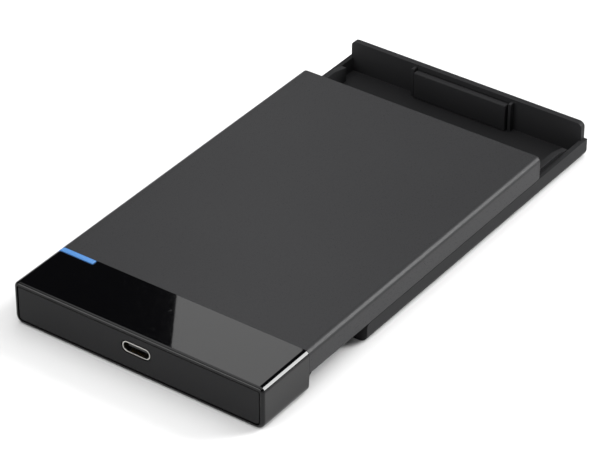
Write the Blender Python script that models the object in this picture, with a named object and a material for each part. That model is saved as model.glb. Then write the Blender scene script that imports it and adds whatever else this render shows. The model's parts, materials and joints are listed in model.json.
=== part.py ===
"""Pocket hard disk drive: a 2.5 inch disk mechanism in a tool-free enclosure with a USB-C port.

The matte cover, the gloss front block and everything screwed or plugged into them stay still.
The tray slides out to the back, the platter stack spins and the head actuator swings.
Lengths are in metres, +X is to the right, +Y is to the back and +Z is up.
The frame is built from the front face, then shifted so that the origin is under the object's middle.
"""

import math

import bmesh
import bpy

MM = 0.001

# Clearances
FIT = 0.3 * MM  # between moulded pieces, and round a screw or a seated piece
SEAT = 0.1 * MM  # at a closed seam, and between a soldered, bonded or stacked piece and what carries it

# Enclosure
CAP_LENGTH = 19.6 * MM  # depth of the gloss block
TRAY_DRAW = 25.4 * MM  # how far the tray stands out
TOP_FILLET = 1.7 * MM
BOTTOM_FILLET = 2.5 * MM
SPLIT_HEIGHT = 5.95 * MM  # lower edge of the cover's side walls
COVER_TOP_WALL = 1.4 * MM
COVER_SIDE_WALL = 1.3 * MM
GROOVE_LIP = 0.5 * MM
GROOVE_DEPTH = 0.8 * MM
BEAD_HEIGHT = 0.55 * MM
BEAD_REACH = 0.8 * MM
GUIDE_RIB = 1.0 * MM
GUIDE_RIB_REACH = 4.0 * MM
GUIDE_RAIL_GAP = 0.475 * MM
REBATE_WALL = 0.6 * MM  # cover wall left outside the tray's end wall

# Gloss front block, its panel and its light bar
CAP_WALL = 2.0 * MM
RIM = 1.1 * MM
RIM_DEPTH = 1.9 * MM
RIM_FILLET = 0.9 * MM
PANEL_GROOVE = 0.3 * MM
PANEL_THICKNESS = 1.5 * MM
PANEL_INSET = 0.1 * MM
SPIGOT_LENGTH = 3.0 * MM
SPIGOT_THICKNESS = 1.1 * MM
SPIGOT_HALF_WIDTH = 26.0 * MM
LIGHT_WIDTH = 11.9 * MM
LIGHT_DEPTH = 1.7 * MM
LIGHT_THICKNESS = 1.2 * MM
LIGHT_SIDE_FOOT = 8.5 * MM
LIGHT_STEM_WIDTH = 1.8 * MM

# USB-C port
PORT_HEIGHT = 7.75 * MM
PORT_WIDTH = 8.94 * MM
PORT_THICKNESS = 3.26 * MM
PORT_WALL = 0.35 * MM
PORT_DEPTH = 8.3 * MM
PORT_INSET = 0.2 * MM
PORT_CORNER = 1.55 * MM
TONGUE_WIDTH = 6.7 * MM
TONGUE_THICKNESS = 0.7 * MM
TONGUE_INSET = 1.0 * MM
INSULATOR_DEPTH = 2.8 * MM

# Bridge board
BOARD_THICKNESS = 1.0 * MM
BOARD_FRONT_GAP = 0.4 * MM
BOARD_LEFT_GAP = 6.5 * MM
BOARD_RIGHT_GAP = 5.0 * MM
LIGHT_TAB_SETBACK = 0.7 * MM
LIGHT_TAB_RIGHT = -4.0 * MM
BOARD_SCREWS = ((-22.0 * MM, 9.0 * MM), (24.0 * MM, 8.0 * MM))
BOARD_SCREW_HEAD = 1.6 * MM
BOARD_SCREW_SHANK = 0.7 * MM
BOARD_SCREW_HEAD_HEIGHT = 0.8 * MM
BOSS_RADIUS = 2.3 * MM
NOTCH_FILLET = 1.0 * MM  # in the corner between the block and the cover's side walls

# Tray
TRAY_FLOOR = 1.5 * MM
TRAY_WALL = 1.5 * MM
RAIL_THICKNESS = 1.7 * MM
RAIL_END_GAP = 8.2 * MM  # from the rail's end to the tray's rear face
RAIL_SLOPE = 6.0 * MM  # length over which the rail runs down at its end
BEAD_END_GAP = 1.0 * MM  # from the bead's end to the cover's rear edge, with the tray as drawn
REAR_WALL = 1.9 * MM
REAR_STEP = 0.3 * MM  # the upper end wall stands this far ahead of the lower one
REAR_CORNER = 1.6 * MM
STOP_HALF_WIDTH = 15.5 * MM
STOP_THICKNESS = 2.0 * MM
STOP_TOP = 10.0 * MM
STOP_WALL_GAP = 0.6 * MM
STOP_CLEARANCE = 0.3 * MM  # from the stop to the drive when the tray is shut
STOP_RIB = 0.9 * MM
STOP_RIB_TOP = 10.6 * MM
STOP_RIB_REACH = 1.9 * MM
STOP_RIB_GAP = 0.5 * MM

# Disk mechanism, in its own frame: front face at y = 0, underside at z = 0
DRIVE_WIDTH = 69.85 * MM
DRIVE_LENGTH = 100.2 * MM
DRIVE_HEIGHT = 9.5 * MM
DRIVE_SPIGOT_GAP = 0.9 * MM
DRIVE_CORNER = 2.0 * MM
LID_THICKNESS = 0.5 * MM
LID_GAP = 0.2 * MM
FLOOR_UNDERSIDE = 2.2 * MM
FLOOR_THICKNESS = 1.0 * MM
CASE_WALL = 1.4 * MM
SCREW_HEAD = 1.3 * MM
SCREW_SHANK = 0.6 * MM
SCREW_LENGTH = 2.7 * MM
SCREW_INSET = 3.1 * MM
MOUNT_HOLE_RADIUS = 1.25 * MM
MOUNT_HOLE_DEPTH = 2.8 * MM
MOUNT_HOLE_SPACING = 61.72 * MM
MOUNT_HOLE_ROWS = (14.0 * MM, 90.6 * MM)

CASE_BOARD_LIFT = 0.4 * MM
CASE_BOARD_THICKNESS = 0.8 * MM
CASE_BOARD_SCREWS = ((-24.0 * MM, 12.0 * MM), (-24.0 * MM, 58.0 * MM), (24.0 * MM, 58.0 * MM))
CASE_BOARD_HEAD = 1.5 * MM
CASE_BOARD_HEAD_HEIGHT = 0.3 * MM

# SATA connector
PLUG_LEFT = 0.8 * MM
PLUG_WIDTH = 32.0 * MM
PLUG_HEIGHT = 4.8 * MM
PLUG_LIFT = 0.4 * MM
PLUG_DEPTH = 6.3 * MM
PLUG_BACK = 2.0 * MM
PLUG_END_WALL = 1.2 * MM
BLADE_THICKNESS = 1.1 * MM
BLADE_LIFT = 2.6 * MM
BLADE_INSET = 0.3 * MM
SIGNAL_BLADE = (2.6 * MM, 12.2 * MM)
POWER_BLADE = (14.6 * MM, 30.2 * MM)
RECEPTACLE_DEPTH = 6.1 * MM
RECEPTACLE_OVERLAP = 2.0 * MM  # how far the body straddles the board's edge
RECEPTACLE_HEIGHT = 5.0 * MM
RECEPTACLE_FLANGE = 1.6 * MM

# Platter stack
PLATTER_RADIUS = 32.5 * MM
PLATTER_BORE = 10.0 * MM
PLATTER_THICKNESS = 0.7 * MM
PLATTER_SPACING = 2.5 * MM
PLATTER_EDGE_CLEARANCE = 1.0 * MM
LOWER_PLATTER = 4.5 * MM  # underside of the lower platter
FLANGE_RADIUS = 12.2 * MM
SHAFT_RADIUS = 1.9 * MM
STATOR_RADIUS = 7.6 * MM
CLAMP_THICKNESS = 0.4 * MM
CLAMP_SCREW_CIRCLE = 6.0 * MM
CLAMP_SCREWS = 3
CLAMP_SCREW_BEARING = math.radians(20.0)

# Head actuator
ARM_LENGTH = 35.0 * MM
PIVOT_DISTANCE = 46.0 * MM
PARK_RADIUS = 33.8 * MM
PARK_BEARING = math.radians(203.5)
PIVOT_SHAFT = 1.8 * MM
BEARING_RADIUS = 4.2 * MM
BLOCK_RADIUS = 6.8 * MM
SWING = math.radians(30.0)
COIL_INNER = 9.5 * MM
COIL_OUTER = 16.5 * MM
COIL_HALF_ANGLE = math.radians(22.0)
COIL_WIRE = 2.4 * MM
YOKE_INNER = 8.8 * MM
YOKE_OUTER = 18.0 * MM
YOKE_THICKNESS = 0.7 * MM
YOKE_OVERHANG = math.radians(11.0)
SUSPENSION_THICKNESS = 0.15 * MM
SLIDER_GAP = 0.08 * MM

# Roundness
FILLET_STEPS = 7
SMALL_ROUND = 16
ROUND = 40
FINE_ROUND = 64

# Worked out from the sizes above
WIDTH = DRIVE_WIDTH + 2 * (2 * FIT + GUIDE_RIB + GUIDE_RAIL_GAP + RAIL_THICKNESS + COVER_SIDE_WALL)
HEIGHT = TRAY_FLOOR + DRIVE_HEIGHT + COVER_TOP_WALL + 2 * FIT
DRIVE_FRONT = CAP_LENGTH + SPIGOT_LENGTH + DRIVE_SPIGOT_GAP  # behind the enclosure's front face
STOP_DEPTH = STOP_THICKNESS + STOP_WALL_GAP + REAR_WALL + REAR_STEP
COVER_LENGTH = DRIVE_FRONT + DRIVE_LENGTH + STOP_CLEARANCE + STOP_DEPTH
HALF = WIDTH / 2
DRIVE_BOTTOM = TRAY_FLOOR + FIT
DRIVE_HALF = DRIVE_WIDTH / 2
CASE_TOP = DRIVE_HEIGHT - LID_THICKNESS - LID_GAP
CASE_FLOOR = FLOOR_UNDERSIDE + FLOOR_THICKNESS
CAVITY_RADIUS = PLATTER_RADIUS + PLATTER_EDGE_CLEARANCE
SPINDLE = (0.0, DRIVE_LENGTH - CASE_WALL + 0.2 * MM - CAVITY_RADIUS)
TRAY_LENGTH = COVER_LENGTH - CAP_LENGTH - FIT
TRAY_FRONT = CAP_LENGTH + FIT + TRAY_DRAW
TRAY_REAR = TRAY_FRONT + TRAY_LENGTH
BOARD_TOP = PORT_HEIGHT - PORT_THICKNESS / 2 - FIT
BOARD_BOTTOM = BOARD_TOP - BOARD_THICKNESS
BOARD_FRONT = RIM_DEPTH + BOARD_FRONT_GAP
BOARD_LEFT = -HALF + CAP_WALL + BOARD_LEFT_GAP
BOARD_RIGHT = HALF - CAP_WALL - BOARD_RIGHT_GAP
RECEPTACLE_FRONT = CAP_LENGTH - RECEPTACLE_DEPTH
BOARD_REAR = RECEPTACLE_FRONT + RECEPTACLE_OVERLAP
LIGHT_TAB_REAR = CAP_LENGTH - LIGHT_TAB_SETBACK
UPPER_PLATTER = LOWER_PLATTER + PLATTER_SPACING

# Finishes: sRGB colour, roughness, metallic
MATTE_BLACK = (0x45, 0x45, 0x46), 0.6, 0.0
SATIN_BLACK = (0x33, 0x33, 0x34), 0.45, 0.0
GLOSS_BLACK = (0x0C, 0x0C, 0x0E), 0.08, 0.0
LIGHT_BLUE = (0x5E, 0x9B, 0xDB), 0.2, 0.0
NICKEL = (0xC4, 0xC4, 0xC0), 0.2, 1.0
STEEL = (0x9A, 0x9B, 0x9D), 0.35, 1.0
CAST_ALUMINIUM = (0xA6, 0xA8, 0xAA), 0.45, 1.0
MIRROR_DISK = (0xC8, 0xCB, 0xCF), 0.04, 1.0
COPPER = (0xB8, 0x6B, 0x3C), 0.3, 1.0
MAGNET = (0x8C, 0x8C, 0x90), 0.25, 1.0
GREEN_BOARD = (0x1B, 0x4A, 0x2E), 0.4, 0.0
CHIP_BLACK = (0x1A, 0x1A, 0x1B), 0.5, 0.0
CONNECTOR_BLACK = (0x16, 0x16, 0x17), 0.4, 0.0
CERAMIC_TAN = (0xA8, 0x8A, 0x62), 0.5, 0.0
LAMP_WHITE = (0xE8, 0xEC, 0xF2), 0.3, 0.0
RAMP_WHITE = (0xE6, 0xE2, 0xD6), 0.4, 0.0


def clear_scene():
    """Take away every object that the start-up file holds."""
    for obj in list(bpy.data.objects):
        bpy.data.objects.remove(obj, do_unlink=True)


def empty(name, location, parent=None):
    """A frame that pieces hang on; it has no shape of its own."""
    obj = bpy.data.objects.new(name, None)
    obj.location = location
    obj.parent = parent
    bpy.context.scene.collection.objects.link(obj)
    return obj


def linear(channel):
    """One 8-bit sRGB channel as linear light."""
    value = channel / 255.0
    return value / 12.92 if value <= 0.04045 else ((value + 0.055) / 1.055) ** 2.4


def paint(obj, finish):
    """Give a piece its own Principled material."""
    colour, roughness, metallic = finish
    material = bpy.data.materials.new(obj.name)
    material.use_nodes = True
    shader = material.node_tree.nodes["Principled BSDF"]
    shader.inputs["Base Color"].default_value = (*[linear(c) for c in colour], 1.0)
    shader.inputs["Roughness"].default_value = roughness
    shader.inputs["Metallic"].default_value = metallic
    obj.data.materials.append(material)


def solid(name, shape, parent, finish=None, location=(0, 0, 0), smooth_angle=35.0):
    """Turn a bmesh into an object. A shape with no finish is a helper for a Boolean."""
    bmesh.ops.recalc_face_normals(shape, faces=shape.faces)
    mesh = bpy.data.meshes.new(name)
    shape.to_mesh(mesh)
    shape.free()
    mesh.shade_smooth()
    mesh.set_sharp_from_angle(angle=math.radians(smooth_angle))
    obj = bpy.data.objects.new(name, mesh)
    obj.parent = parent
    obj.location = location
    bpy.context.scene.collection.objects.link(obj)
    if finish:
        paint(obj, finish)
    else:
        obj.hide_render = True
        obj.display_type = "WIRE"
    return obj


def combine(obj, operation, tools):
    """Cut helpers out of a piece, or join them to it."""
    for tool in tools:
        modifier = obj.modifiers.new(tool.name, "BOOLEAN")
        modifier.operation = operation
        modifier.solver = "EXACT"
        modifier.object = tool
    return obj


def cut(obj, *tools):
    """Take the helpers away from the piece."""
    return combine(obj, "DIFFERENCE", tools)


def join(obj, *tools):
    """Add the helpers to the piece."""
    return combine(obj, "UNION", tools)


def rounded(corners):
    """A closed outline from (u, v, radius) corners; a radius of 0 stays sharp."""
    outline = []
    for index, (u, v, radius) in enumerate(corners):
        if radius == 0:
            outline.append((u, v))
            continue
        before = corners[index - 1]
        after = corners[(index + 1) % len(corners)]
        into = math.atan2(before[1] - v, before[0] - u)
        out = math.atan2(after[1] - v, after[0] - u)
        turn = (out - into + math.pi) % (2 * math.pi) - math.pi
        reach = radius / math.tan(abs(turn) / 2)
        centre_distance = radius / math.sin(abs(turn) / 2)
        middle = into + turn / 2
        centre = (u + centre_distance * math.cos(middle), v + centre_distance * math.sin(middle))
        first = (u + reach * math.cos(into), v + reach * math.sin(into))
        start = math.atan2(first[1] - centre[1], first[0] - centre[0])
        sweep = math.copysign(math.pi - abs(turn), -turn)
        for step in range(FILLET_STEPS + 1):
            angle = start + sweep * step / FILLET_STEPS
            outline.append((centre[0] + radius * math.cos(angle), centre[1] + radius * math.sin(angle)))
    return outline


def rectangle(u0, u1, v0, v1, radius=0.0):
    """A rectangle's outline, with one radius for its corners."""
    return rounded([(u0, v0, radius), (u1, v0, radius), (u1, v1, radius), (u0, v1, radius)])


def circle(radius, segments, centre=(0.0, 0.0)):
    """A round outline."""
    steps = [2 * math.pi * step / segments for step in range(segments)]
    return [(centre[0] + radius * math.cos(a), centre[1] + radius * math.sin(a)) for a in steps]


def sector(inner, outer, start, end, segments):
    """The outline of a ring's segment about the origin, between two bearings."""
    steps = [start + (end - start) * step / segments for step in range(segments + 1)]
    rim = [(outer * math.cos(a), outer * math.sin(a)) for a in steps]
    return rim + [(inner * math.cos(a), inner * math.sin(a)) for a in reversed(steps)]


def extruded(outline, start, end, along="Z"):
    """Push a closed outline along an axis. Its two coordinates are the other axes, in X, Y, Z order."""
    place = {
        "X": lambda u, v, w: (w, u, v),
        "Y": lambda u, v, w: (u, w, v),
        "Z": lambda u, v, w: (u, v, w),
    }[along]
    shape = bmesh.new()
    ends = []
    for level in (start, end):
        ends.append([shape.verts.new(place(u, v, level)) for u, v in outline])
        shape.faces.new(ends[-1])
    for index in range(len(outline)):
        after = (index + 1) % len(outline)
        shape.faces.new((ends[0][index], ends[0][after], ends[1][after], ends[1][index]))
    return shape


def box(x, y, z):
    """A block from three (low, high) pairs."""
    return extruded(rectangle(x[0], x[1], y[0], y[1]), z[0], z[1])


def turned(profile, segments):
    """Spin a closed (radius, height) profile about Z."""
    shape = bmesh.new()
    rings = []
    for radius, height in profile:
        if radius == 0:
            rings.append([shape.verts.new((0, 0, height))] * segments)
            continue
        points = circle(radius, segments)
        rings.append([shape.verts.new((x, y, height)) for x, y in points])
    for index, ring in enumerate(rings):
        following = rings[(index + 1) % len(rings)]
        for step in range(segments):
            after = (step + 1) % segments
            corners = dict.fromkeys((ring[step], ring[after], following[after], following[step]))
            if len(corners) > 2:
                shape.faces.new(tuple(corners))
    return shape


def ring(inner, outer, low, high, segments):
    """A flat washer or a tube."""
    return turned([(inner, low), (outer, low), (outer, high), (inner, high)], segments)


def disc(radius, low, high, segments):
    """A cylinder."""
    return turned([(0, low), (radius, low), (radius, high), (0, high)], segments)


def screw(name, parent, finish, location, head, head_height, shank, length):
    """A flat-headed screw, with its origin under its head."""
    profile = [
        (0, -length),
        (shank * 0.6, -length),
        (shank, -length + shank),
        (shank, 0),
        (head, 0),
        (head, head_height * 0.6),
        (head * 0.8, head_height),
        (0, head_height),
    ]
    return solid(name, turned(profile, SMALL_ROUND), parent, finish, location)


def make_cover_shell(frame):
    """The matte cover: a channel with a groove in each side for the tray's beads."""
    inner = HALF - COVER_SIDE_WALL
    ceiling = HEIGHT - COVER_TOP_WALL
    groove = inner + GROOVE_DEPTH
    groove_low = SPLIT_HEIGHT + GROOVE_LIP
    groove_high = groove_low + 2 * FIT + BEAD_HEIGHT
    rib_inner = DRIVE_HALF + FIT
    right = [
        (HALF, HEIGHT, TOP_FILLET),
        (HALF, SPLIT_HEIGHT, 0),
        (inner, SPLIT_HEIGHT, 0),
        (inner, groove_low, 0),
        (groove, groove_low, 0),
        (groove, groove_high, 0),
        (inner, groove_high, 0),
        (inner, ceiling, 0.4 * MM),
        (rib_inner + GUIDE_RIB, ceiling, 0),
        (rib_inner + GUIDE_RIB, ceiling - GUIDE_RIB_REACH, 0),
        (rib_inner, ceiling - GUIDE_RIB_REACH, 0),
        (rib_inner, ceiling, 0),
    ]
    left = [(-x, z, radius) for x, z, radius in reversed(right)]
    shell = extruded(rounded(right + left), CAP_LENGTH + SEAT, COVER_LENGTH, "Y")
    cover = solid("cover_shell", shell, frame, MATTE_BLACK)
    half = HALF - REBATE_WALL
    top = ceiling + SEAT
    corner = TOP_FILLET - REBATE_WALL
    opening = rounded([(-half, 0, 0), (half, 0, 0), (half, top, corner), (-half, top, corner)])
    depth = REAR_STEP + REAR_WALL + FIT
    rebate = solid("cover_rebate", extruded(opening, COVER_LENGTH - depth, COVER_LENGTH + FIT, "Y"), frame)
    return cut(cover, rebate)


def cap_outline(inset):
    """The front block's outline, drawn in from its outer faces."""
    half = HALF - inset
    bottom = max(BOTTOM_FILLET - inset, 0.2 * MM)
    top = max(TOP_FILLET - inset, 0.2 * MM)
    return rounded(
        [(-half, inset, bottom), (half, inset, bottom), (half, HEIGHT - inset, top), (-half, HEIGHT - inset, top)]
    )


def ring_lofted(loops):
    """Join (outline, y) loops with the same number of points, each to the next and the last to the first."""
    shape = bmesh.new()
    rings = [[shape.verts.new((x, y, z)) for x, z in outline] for outline, y in loops]
    for index, near in enumerate(rings):
        far = rings[(index + 1) % len(rings)]
        for point in range(len(near)):
            after = (point + 1) % len(near)
            shape.faces.new((near[point], near[after], far[after], far[point]))
    return shape


def make_front_cap(frame):
    """The gloss front block: a deep ring with a rounded rim, a rebate for the panel and a rear spigot."""
    loops = []
    for step in range(FILLET_STEPS + 1):
        angle = math.pi / 2 * step / FILLET_STEPS
        inset = RIM_FILLET * (1 - math.sin(angle))
        loops.append((cap_outline(inset), RIM_FILLET * (1 - math.cos(angle))))
    loops.append((cap_outline(0.0), CAP_LENGTH))
    loops.append((cap_outline(CAP_WALL), CAP_LENGTH))
    loops.append((cap_outline(CAP_WALL), RIM_DEPTH))
    loops.append((cap_outline(RIM), RIM_DEPTH))
    loops.append((cap_outline(RIM), 0.0))
    cap = solid("front_cap", ring_lofted(loops), frame, GLOSS_BLACK)
    spigot_top = HEIGHT - COVER_TOP_WALL - FIT
    spigot_side = HALF - COVER_SIDE_WALL - FIT
    spigot = (CAP_LENGTH - 2 * CAP_WALL, CAP_LENGTH + SPIGOT_LENGTH)
    rail_clear = tray_rail_top() + FIT
    top_plate = ((-SPIGOT_HALF_WIDTH, SPIGOT_HALF_WIDTH), spigot, (spigot_top - SPIGOT_THICKNESS, spigot_top))
    plates = [solid("cap_spigot_top", box(*top_plate), frame)]
    for side, name in ((-1, "cap_spigot_left"), (1, "cap_spigot_right")):
        reach = sorted((side * (spigot_side - SPIGOT_THICKNESS), side * spigot_side))
        plates.append(solid(name, box(reach, spigot, (rail_clear, spigot_top - FIT)), frame))
    join(cap, *plates)
    for index, (x, y) in enumerate(BOARD_SCREWS, start=1):
        boss = ring(BOARD_SCREW_SHANK + FIT, BOSS_RADIUS, CAP_WALL / 2, BOARD_BOTTOM - FIT, SMALL_ROUND)
        join(cap, solid(f"cap_boss_{index}", boss, frame, location=(x, y, 0)))
    corner = notch_corner(CAP_LENGTH, NOTCH_FILLET, CAP_WALL)
    for side, name in ((-1, "notch_fillet_left"), (1, "notch_fillet_right")):
        reach = sorted((side * (HALF - COVER_SIDE_WALL + SEAT), side * HALF))
        join(cap, solid(name, extruded(corner, *reach, "X"), frame))
    notch = light_outline(FIT, beyond=FIT, stem_low=HEIGHT / 2)
    reach = (CAP_LENGTH - LIGHT_DEPTH - FIT, CAP_LENGTH + FIT)
    return cut(cap, solid("cap_light_notch", extruded(notch, *reach, "Y"), frame))


def notch_corner(face, radius, depth):
    """The hollow fillet between an upright face and the cover's lower edge, from a depth inside the face."""
    top = SPLIT_HEIGHT - SEAT
    steps = [math.pi / 2 * (1 + step / FILLET_STEPS) for step in range(FILLET_STEPS + 1)]
    centre = (face + radius, top - radius)
    curve = [(centre[0] + radius * math.cos(a), centre[1] + radius * math.sin(a)) for a in steps]
    return curve + [(face - depth, top - radius), (face - depth, top)]


def light_outline(gap, beyond, stem_low):
    """The light bar round the block's top left edge with its stem, grown by a gap and past the outer faces."""
    outer = -HALF - beyond
    top = HEIGHT + beyond
    under = HEIGHT - LIGHT_THICKNESS - gap
    inner = -HALF + LIGHT_THICKNESS + gap
    right = -HALF + LIGHT_WIDTH + gap
    stem_left = right - LIGHT_STEM_WIDTH - 2 * gap
    return rounded(
        [
            (outer, LIGHT_SIDE_FOOT - gap, 0),
            (inner, LIGHT_SIDE_FOOT - gap, 0),
            (inner, under, TOP_FILLET - LIGHT_THICKNESS),
            (stem_left, under, 0),
            (stem_left, stem_low, 0),
            (right, stem_low, 0),
            (right, top, 0),
            (outer, top, TOP_FILLET if beyond == 0 else 0),
        ]
    )


def make_light_pipe(frame):
    """The blue light bar, with the stem that takes its light from the lamp on the board."""
    outline = light_outline(0.0, beyond=0.0, stem_low=BOARD_TOP + lamp_height() + FIT)
    bar = extruded(outline, CAP_LENGTH - LIGHT_DEPTH, CAP_LENGTH, "Y")
    return solid("light_pipe", bar, frame, LIGHT_BLUE)


def lamp_height():
    """How far the lamp's lens stands above the board."""
    return 0.7 * MM


def port_outline(inset):
    """The USB-C shell's outline, drawn in from its outer face."""
    half = PORT_WIDTH / 2 - inset
    low = PORT_HEIGHT - PORT_THICKNESS / 2 + inset
    high = PORT_HEIGHT + PORT_THICKNESS / 2 - inset
    return rectangle(-half, half, low, high, PORT_CORNER - inset)


def make_front_panel(frame):
    """The panel let into the block's front, with a slot round the port."""
    panel = extruded(cap_outline(RIM + PANEL_GROOVE), PANEL_INSET, PANEL_INSET + PANEL_THICKNESS, "Y")
    slot = solid("panel_slot", extruded(port_outline(-FIT), -FIT, RIM_DEPTH + FIT, "Y"), frame)
    return cut(solid("front_panel", panel, frame, SATIN_BLACK), slot)


def make_usb_port(frame):
    """The USB-C shell, and the insulator that carries its tongue."""
    outer = extruded(port_outline(0.0), PORT_INSET, PORT_INSET + PORT_DEPTH, "Y")
    bore = solid("port_bore", extruded(port_outline(PORT_WALL), 0.0, 2 * PORT_DEPTH, "Y"), frame)
    cut(solid("usb_c_shell", outer, frame, NICKEL), bore)
    back = PORT_INSET + PORT_DEPTH
    block = extruded(port_outline(PORT_WALL + FIT), back - INSULATOR_DEPTH, back, "Y")
    insulator = solid("usb_c_tongue", block, frame, CONNECTOR_BLACK)
    low = PORT_HEIGHT - TONGUE_THICKNESS / 2
    outline = rectangle(-TONGUE_WIDTH / 2, TONGUE_WIDTH / 2, PORT_INSET + TONGUE_INSET, back - SEAT, 0.3 * MM)
    tongue = extruded(outline, low, low + TONGUE_THICKNESS)
    join(insulator, solid("port_tongue", tongue, frame))


def make_bridge_board(frame):
    """The board that turns the drive's SATA link into USB, with what is soldered to it."""
    outline = [
        (BOARD_LEFT, BOARD_FRONT),
        (BOARD_RIGHT, BOARD_FRONT),
        (BOARD_RIGHT, BOARD_REAR),
        (LIGHT_TAB_RIGHT, BOARD_REAR),
        (LIGHT_TAB_RIGHT, LIGHT_TAB_REAR),
        (BOARD_LEFT, LIGHT_TAB_REAR),
    ]
    board = solid("bridge_board", extruded(outline, BOARD_BOTTOM, BOARD_TOP), frame, GREEN_BOARD)
    for index, (x, y) in enumerate(BOARD_SCREWS, start=1):
        hole = disc(BOARD_SCREW_SHANK + FIT, BOARD_BOTTOM - FIT, BOARD_TOP + FIT, SMALL_ROUND)
        cut(board, solid(f"board_hole_{index}", hole, frame, location=(x, y, 0)))
        screw(
            "board_screw_left" if x < 0 else "board_screw_right",
            frame,
            STEEL,
            (x, y, BOARD_TOP + SEAT),
            BOARD_SCREW_HEAD,
            BOARD_SCREW_HEAD_HEIGHT,
            BOARD_SCREW_SHANK,
            BOARD_TOP - CAP_WALL - FIT,
        )
    lamp = (-HALF + LIGHT_WIDTH - LIGHT_STEM_WIDTH / 2, CAP_LENGTH - LIGHT_DEPTH / 2 - FIT)
    parts = (
        ("bridge_chip", CHIP_BLACK, (12.5 * MM, 9.0 * MM), (7.0 * MM, 7.0 * MM, 0.9 * MM)),
        ("crystal", NICKEL, (6.2 * MM, 11.4 * MM), (3.2 * MM, 2.5 * MM, 0.8 * MM)),
        ("board_capacitor_1", CERAMIC_TAN, (-8.0 * MM, 7.0 * MM), (2.0 * MM, 1.25 * MM, 1.2 * MM)),
        ("board_capacitor_2", CERAMIC_TAN, (-8.0 * MM, 10.0 * MM), (2.0 * MM, 1.25 * MM, 1.2 * MM)),
        ("indicator_lamp", LAMP_WHITE, lamp, (1.6 * MM, 0.8 * MM, lamp_height() - SEAT)),
    )
    for name, finish, (x, y), (width, depth, height) in parts:
        low = BOARD_TOP + SEAT
        body = box((x - width / 2, x + width / 2), (y - depth / 2, y + depth / 2), (low, low + height))
        solid(name, body, frame, finish)


def blade_slots(drive, gap):
    """Helpers in the shape of the plug's two blades, each with a key at one end, grown by a gap."""
    slots = []
    for name, (left, right) in (("signal", SIGNAL_BLADE), ("power", POWER_BLADE)):
        low = BLADE_LIFT - gap
        high = BLADE_LIFT + BLADE_THICKNESS + gap
        key = left + 0.9 * MM + gap
        outline = [
            (left - gap, low - 0.6 * MM),
            (key, low - 0.6 * MM),
            (key, low),
            (right + gap, low),
            (right + gap, high),
            (left - gap, high),
        ]
        start = BLADE_INSET - gap
        end = PLUG_DEPTH - PLUG_BACK / 2 + gap
        slots.append(solid(f"{name}_blade_{round(gap / MM * 10)}", extruded(outline, start, end, "Y"), drive))
    return slots


def make_sata_plug(drive):
    """The drive's plug: a back bar, two blades and an end wall at each side."""
    low, high = PLUG_LIFT, PLUG_LIFT + PLUG_HEIGHT
    left, right = PLUG_LEFT, PLUG_LEFT + PLUG_WIDTH
    front = PLUG_LIFT
    back = PLUG_DEPTH - PLUG_BACK
    plug = solid("sata_plug", box((left, right), (back, PLUG_DEPTH), (low, high)), drive, CONNECTOR_BLACK)
    for name, near, far in (
        ("plug_wall_left", left, left + PLUG_END_WALL),
        ("plug_wall_right", right - PLUG_END_WALL, right),
    ):
        join(plug, solid(name, box((near, far), (front, back + SEAT), (low, high)), drive))
    return join(plug, *blade_slots(drive, 0.0))


def make_sata_receptacle(frame, drive):
    """The board's SATA receptacle: a body that straddles the board's edge and a nose with two slots."""
    left = PLUG_LEFT
    right = PLUG_LEFT + PLUG_WIDTH
    middle = (BOARD_BOTTOM + BOARD_TOP) / 2
    body_depth = (RECEPTACLE_FRONT, CAP_LENGTH - SEAT)
    body_height = (middle - RECEPTACLE_HEIGHT / 2, middle + RECEPTACLE_HEIGHT / 2)
    body = box((left - RECEPTACLE_FLANGE, right + FIT), body_depth, body_height)
    receptacle = solid("sata_receptacle", body, frame, CONNECTOR_BLACK)
    inner = (left + PLUG_END_WALL + FIT, right - PLUG_END_WALL - FIT)
    nose_low = BLADE_LIFT - RECEPTACLE_FLANGE
    nose_high = BLADE_LIFT + BLADE_THICKNESS + RECEPTACLE_FLANGE - FIT
    start = CAP_LENGTH - DRIVE_FRONT - FIT
    end = PLUG_DEPTH - PLUG_BACK - FIT
    nose = solid("receptacle_nose", box(inner, (start, end), (nose_low, nose_high)), drive)
    slot = box(
        (left - CAP_WALL - RECEPTACLE_FLANGE, right + CAP_WALL),
        (RECEPTACLE_FRONT - FIT, BOARD_REAR + FIT),
        (BOARD_BOTTOM - FIT, BOARD_TOP + FIT),
    )
    join(receptacle, nose)
    return cut(receptacle, solid("receptacle_board_slot", slot, frame), *blade_slots(drive, 0.2 * MM))


def tray_rail_top():
    """Top of the rail, which is the top of the bead in the cover's groove."""
    return SPLIT_HEIGHT + GROOVE_LIP + FIT + BEAD_HEIGHT


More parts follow.
